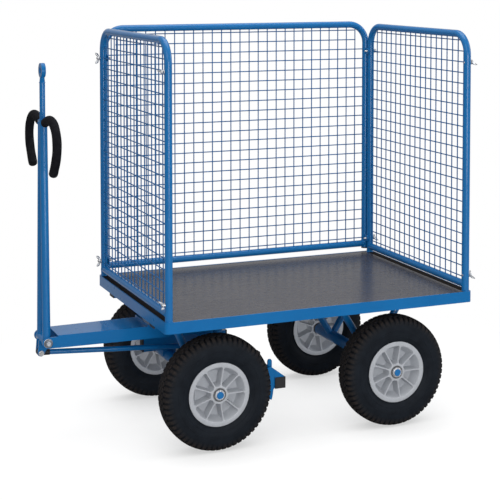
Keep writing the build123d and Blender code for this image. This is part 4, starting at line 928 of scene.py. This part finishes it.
bogie = Soup()
lo_r, hi_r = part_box("bogie_rails")
front_x = centre("front_axle")[0]
strut_y = (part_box("front_struts")[1][1]) - R
seed = 120
for sy in (-1, 1):
    for sx in (-1, 1):
        foot = np.array([front_x + sx * 0.033, sy * strut_y, hi_r[2]])
        d = np.array([sx * 0.049, 0.0, 0.384 - hi_r[2]])
        for z in (hi_r[2] + 0.0004, 0.384 - 0.0004):
            bogie.tube(plane_curve(foot, d, R, z), ripple(56, 0.0020, seed, 3.2), 8, closed=True)
            seed += 1
    for sx in (-1, 1):
        x = front_x + sx * 0.0262
        seam(bogie, (x, sy * strut_y - 0.014, 0.226), (x, sy * strut_y + 0.014, 0.226), 0.0020, seed)
        seed += 1
    for off in (-0.0152, 0.0152):
        pts = [(front_x + 0.0229 * math.cos(t), sy * strut_y + off, centre("front_axle")[2] + 0.0229 * math.sin(t)) for t in np.linspace(0.05, math.pi - 0.05, 40)]
        bogie.tube(np.array(pts), ripple(40, 0.0019, seed, 2.8), 7)
        seed += 1
lo_a, hi_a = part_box("drawbar_arm")
seam(bogie, (hi_a[0] - 0.030, -0.0800, 0.3838), (hi_a[0] - 0.150, -0.0783, 0.3838), 0.0022, 5)
seam(bogie, (hi_a[0] - 0.030, 0.0800, 0.3838), (hi_a[0] - 0.150, 0.0783, 0.3838), 0.0022, 6)
bogie.piece("bogie_welds", blue_paint, "bogie", 60)

handle = Soup()
px, pz = centre("handle_pivot_tube")[0], centre("handle_pivot_tube")[2]
for sy in (-1, 1):
    d = np.array([0.006, -sy * 0.030, 0.766])
    c = joint_curve((px, sy * 0.041, pz), d, (0, 1, 0), 0.014, 0.017)
    handle.tube(c, ripple(64, 0.0021, 200 + sy, 3.2), 8, closed=True)
lo_h, hi_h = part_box("handle_bar")
hx = centre("handle_bar")[0]
a = np.linspace(0, TAU, 56, endpoint=False)
handle.tube(np.stack([hx + 0.0104 * np.cos(a), 0.0104 * np.sin(a), np.full(56, 1.1413)], 1), ripple(56, 0.0021, 210, 3.0), 8, closed=True)
handle.tube(np.stack([hx + 0.0099 * np.cos(a), 0.0099 * np.sin(a), np.full(56, 1.2722)], 1), ripple(56, 0.0015, 211, 3.0), 8, closed=True)
# weld around the cap plate on the legs
half = 0.010
cap = []
for t in np.linspace(-math.pi / 2, math.pi / 2, 18):
    cap.append((hx + 0.0139 * math.sin(t), half + 0.0139 * math.cos(t), 1.1350))
for t in np.linspace(math.pi / 2, 3 * math.pi / 2, 18):
    cap.append((hx + 0.0139 * math.sin(t), -half + 0.0139 * math.cos(t), 1.1350))
cap = np.array(cap)
handle.tube(cap, ripple(len(cap), 0.0013, 212, 2.6), 7, closed=True)
# the flared weld at the root of each grip rod
for sy in (-1, 1):
    o = np.array([gx, sy * 0.0145, 1.12725])
    handle.lathe(o, (0, sy * 1.0, 0.25), [(0.0, 0.0), (0.0142, 0.0), (0.0136, 0.0042), (0.0118, 0.0085), (0.0098, 0.0125), (0.0086, 0.0160), (0.0, 0.0160)], 32)
# the brake lever's plates on the pivot tube
for sy in (-1, 1):
    for off in (11.6, 18.4):
        pts = []
        for t in np.linspace(math.radians(205), math.radians(335), 26):
            pts.append((px + 0.0172 * math.cos(t), sy * off * MM, pz + 0.0172 * math.sin(t)))
        handle.tube(np.array(pts), ripple(26, 0.0016, 220 + sy, 2.6), 7)
handle.piece("handle_welds", blue_paint, "handle", 60)

beam = Soup()
lo_m, hi_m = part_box("brake_beam_caps")
z_top = hi_m[2]
for sy in (-1, 1):
    for off in (84.0, 92.0):
        y = sy * off * MM
        seam(beam, (-0.155, y, z_top + 0.0002), (-0.130, y, z_top + 0.0002), 0.0018, 300 + sy)
    for off in (299.0, 305.0):
        y = sy * off * MM
        seam(beam, (-0.1565, y, z_top + 0.0002), (-0.120, y, z_top + 0.0002), 0.0018, 310 + sy)
# hanger straps and slotted lug round the sleeve on the pivot shaft
hang_x, hang_z = centre("brake_pivot_shaft")[0], centre("brake_pivot_shaft")[2]
for off in (-0.0838, -0.0052, 0.0052, 0.0838):
    pts = [(hang_x + 0.0122 * math.cos(t), off, hang_z + 0.0122 * math.sin(t)) for t in np.linspace(math.radians(190), math.radians(350), 30)]
    beam.tube(np.array(pts), ripple(30, 0.0014, 330 + int(off * 1000), 2.6), 7)
beam.piece("brake_beam_welds", blue_paint, "brake_bar", 60)


# ================================================================ weld dots where the mesh wires end on the tubes
def dot(soup, at, r, squash, axis):
    """Small flattened drop of weld."""
    n, m = 8, 5
    at = np.asarray(at, float)
    axis = np.asarray(axis, float)
    ref = np.array([0, 0, 1.0]) if abs(axis[2]) < 0.9 else np.array([1.0, 0, 0])
    u = np.cross(axis, ref)
    u /= np.linalg.norm(u)
    w = np.cross(axis, u)
    verts = [at - axis * r * squash]
    for i in range(1, m):
        p = math.pi * i / m
        for k in range(n):
            t = TAU * k / n
            verts.append(at - axis * math.cos(p) * r * squash + (u * math.cos(t) + w * math.sin(t)) * math.sin(p) * r)
    verts.append(at + axis * r * squash)
    f = [[0, 1 + (k + 1) % n, 1 + k] for k in range(n)]
    for i in range(m - 2):
        for k in range(n):
            a0, a1 = 1 + i * n + k, 1 + i * n + (k + 1) % n
            f.append([a0, a1, a1 + n, a0 + n])
    last = len(verts) - 1
    f += [[last, 1 + (m - 2) * n + k, 1 + (m - 2) * n + (k + 1) % n] for k in range(n)]
    soup.add(verts, f)


dots = Soup()
rows_end = [0.5025 + R + 0.0115 + 0.040 * i for i in range(23)]
cols_end = [-0.360 + 0.040 * i for i in range(19)]
cols_side = [-0.520 + 0.040 * i for i in range(27)]
for sx, node in ((-1, "front_panel_frame"), (1, "rear_panel_frame")):
    x = centre(node)[0]
    for y in cols_end:
        dots_z = [0.5025 + R]
        if abs(y) < 0.31:
            dots_z.append(1.431 - R)
        for z in dots_z:
            dot(dots, (x - sx * 0.00151, y, z), 0.0030, 0.55, (0, 0, 1))
    for z in rows_end[:-2]:
        for sy in (-1, 1):
            dot(dots, (x + sx * 0.00151, sy * (post_y - R), z), 0.0030, 0.55, (0, 1, 0))
side_x = (hi_s[0] - lo_s[0]) / 2 - R
for x in cols_side:
    dots_z = [side_low + R]
    if abs(x) < 0.51:
        dots_z.append(1.4385 - R)
    for z in dots_z:
        dot(dots, (x, side_y - 0.00151, z), 0.0030, 0.55, (0, 0, 1))
for z in rows_end[:-2]:
    for sx in (-1, 1):
        dot(dots, (sx * (side_x - R), side_y + 0.00151, z + 0.0075), 0.0030, 0.55, (1, 0, 0))
dots.piece("mesh_weld_dots", blue_wire, "chassis", 60)

# the side wall's outermost uprights carry on up into the bends, with the ends of its two top rows
ends = Soup()
wire_r = 0.0021
z_hi, z_lo = rows_end[-1] + 0.0075, rows_end[-2] + 0.0075
for sx in (-1, 1):
    span = 1.4186 - 1.3350
    ends.lathe((sx * 0.520, side_y - 0.00151, 1.3350), (0, 0, 1), [(0, 0), (wire_r, 0), (wire_r, span), (0, span)], 12)
    for z in (z_lo, z_hi):
        ends.lathe((sx * 0.482, side_y + 0.00151, z), (sx, 0, 0), [(0, 0), (wire_r, 0), (wire_r, 0.0412), (0, 0.0412)], 12)
ends.piece("mesh_corner_wires", blue_wire, "chassis", 60)


# ================================================================ stage
def stage_material():
    """Pale floor: soft shadows near the trolley, an even white sweep further out."""
    m = Mat("pale_floor")
    t = m.t
    t.nodes.remove(m.bsdf)
    diff = t.nodes.new("ShaderNodeBsdfDiffuse")
    tone = m.ramp(m.noise(2.0, 3), (0.3, 0.46), (0.7, 0.49))
    m.link(tone, diff.inputs["Color"])
    near = t.nodes.new("ShaderNodeBsdfDiffuse")
    near.inputs["Color"].default_value = (0.26, 0.26, 0.26, 1)
    glow = t.nodes.new("ShaderNodeEmission")
    # painted shadow: ambient occlusion lowers the floor's glow near the trolley, on top of the real shadows on the near
    # diffuse
    painted_shadow_ao = t.nodes.new("ShaderNodeAmbientOcclusion")
    painted_shadow_ao.samples = 8
    painted_shadow_ao.inputs["Distance"].default_value = 0.30
    m.link(m.ramp(painted_shadow_ao.outputs["AO"], (0.30, 0.54), (0.92, 0.84)), glow.inputs["Strength"])
    add = t.nodes.new("ShaderNodeAddShader")
    m.link(near.outputs[0], add.inputs[0])
    m.link(glow.outputs[0], add.inputs[1])
    sweep = t.nodes.new("ShaderNodeEmission")
    sweep.inputs["Strength"].default_value = 1.0
    far = t.nodes.new("ShaderNodeVectorMath")
    far.operation = "LENGTH"
    m.link(m.coord, far.inputs[0])
    blend = t.nodes.new("ShaderNodeMixShader")
    m.link(m.ramp(m.math("MULTIPLY", far.outputs["Value"], 0.1), (0.075, 0.0), (0.150, 1.0)), blend.inputs[0])
    m.link(add.outputs[0], blend.inputs[1])
    m.link(sweep.outputs[0], blend.inputs[2])
    path = t.nodes.new("ShaderNodeLightPath")
    mix = t.nodes.new("ShaderNodeMixShader")
    m.link(path.outputs["Is Camera Ray"], mix.inputs[0])
    m.link(diff.outputs[0], mix.inputs[1])
    m.link(blend.outputs[0], mix.inputs[2])
    m.link(mix.outputs[0], m.out.inputs[0])
    return m.m


S = 60.0
floor_me = bpy.data.meshes.new("floor")
floor_me.from_pydata([(-S, -S, 0), (S, -S, 0), (S, S, 0), (-S, S, 0)], [], [(0, 1, 2, 3)])
floor_me.materials.append(stage_material())
floor = bpy.data.objects.new("floor", floor_me)
bpy.context.scene.collection.objects.link(floor)

world = bpy.data.worlds.new("studio")
bpy.context.scene.world = world
world.use_nodes = True
wt = world.node_tree
wt.nodes.clear()
wout = wt.nodes.new("ShaderNodeOutputWorld")
bg_light = wt.nodes.new("ShaderNodeBackground")
bg_cam = wt.nodes.new("ShaderNodeBackground")
bg_cam.inputs["Color"].default_value = (1, 1, 1, 1)
bg_cam.inputs["Strength"].default_value = 1.0
wcoord = wt.nodes.new("ShaderNodeTexCoord")
sep = wt.nodes.new("ShaderNodeSeparateXYZ")
wt.links.new(wcoord.outputs["Generated"], sep.inputs[0])
wr = wt.nodes.new("ShaderNodeValToRGB")
wr.color_ramp.elements[0].position = 0.0
wr.color_ramp.elements[0].color = (0.60, 0.61, 0.63, 1)
wr.color_ramp.elements[1].position = 0.9
wr.color_ramp.elements[1].color = (0.80, 0.80, 0.80, 1)
wt.links.new(sep.outputs["Z"], wr.inputs[0])
wt.links.new(wr.outputs[0], bg_light.inputs["Color"])
bg_light.inputs["Strength"].default_value = 0.75
wpath = wt.nodes.new("ShaderNodeLightPath")
wmix = wt.nodes.new("ShaderNodeMixShader")
wt.links.new(wpath.outputs["Is Camera Ray"], wmix.inputs[0])
wt.links.new(bg_light.outputs[0], wmix.inputs[1])
wt.links.new(bg_cam.outputs[0], wmix.inputs[2])
wt.links.new(wmix.outputs[0], wout.inputs[0])


def area(name, at, target, size, power, colour=(1, 1, 1)):
    l = bpy.data.lights.new(name, "AREA")
    l.shape = "RECTANGLE"
    l.size, l.size_y = size
    l.energy = power
    l.color = colour
    o = bpy.data.objects.new(name, l)
    bpy.context.scene.collection.objects.link(o)
    o.location = at
    o.rotation_euler = (Vector(target) - Vector(at)).to_track_quat("-Z", "Y").to_euler()
    return o


area("key", (-2.6, -3.4, 3.4), (0, 0, 0.6), (2.4, 2.4), 30, (1.0, 0.985, 0.96))
area("front", (-0.5, -5.2, 1.0), (0, 0, 0.40), (3.6, 1.8), 84, (1.0, 1.0, 1.0))
area("top", (0.2, 0.3, 4.2), (0, 0, 0.5), (3.0, 3.0), 72)
area("side", (4.2, -1.2, 2.2), (0.2, 0, 0.6), (1.4, 2.4), 40, (0.95, 0.975, 1.0))

# a low fill that reaches only the far side's wheels, under the deck
fill = area("rim_fill", (-0.9, -4.2, 0.30), (0, 0.3, 0.22), (2.2, 0.5), 46)
far_rims = bpy.data.collections.new("far_rims")
for corner in ("front_right", "rear_right"):
    for ob in bpy.context.scene.objects:
        if ob.name in (corner + "_ribbed_rim", "front_right_treaded_tyre") and ob.name.startswith(corner):
            far_rims.objects.link(ob)
fill.light_linking.receiver_collection = far_rims
fill.light_linking.blocker_collection = far_rims

# ================================================================ camera
CENTRE = Vector((-2.0796, -4.7009, 1.6722))
YAW, PITCH = 0.396, -0.0534
cam_data = bpy.data.cameras.new("camera")
cam_data.sensor_width = 36.0
cam_data.lens = 98.28
cam_data.clip_start, cam_data.clip_end = 0.1, 300.0
for prop, value in (("shift_x", -0.0056), ("shift_y", -0.4169)):
    setattr(cam_data, prop, value)
    # the lens shift belongs to this view only: other views place the camera with a much nearer clip plane
    drv = cam_data.driver_add(prop).driver
    drv.type = "SCRIPTED"
    var = drv.variables.new()
    var.name = "c"
    var.type = "SINGLE_PROP"
    var.targets[0].id_type = "CAMERA"
    var.targets[0].id = cam_data
    var.targets[0].data_path = "clip_start"
    drv.expression = f"{value} if c > 0.05 else 0.0"
cam = bpy.data.objects.new("camera", cam_data)
bpy.context.scene.collection.objects.link(cam)
cam.location = CENTRE
look = Vector((math.sin(YAW) * math.cos(PITCH), math.cos(YAW) * math.cos(PITCH), math.sin(PITCH)))
cam.rotation_euler = look.to_track_quat("-Z", "Y").to_euler()
bpy.context.scene.camera = cam
bpy.context.scene.view_settings.view_transform = "Standard"
bpy.context.scene.view_settings.exposure = 0.0
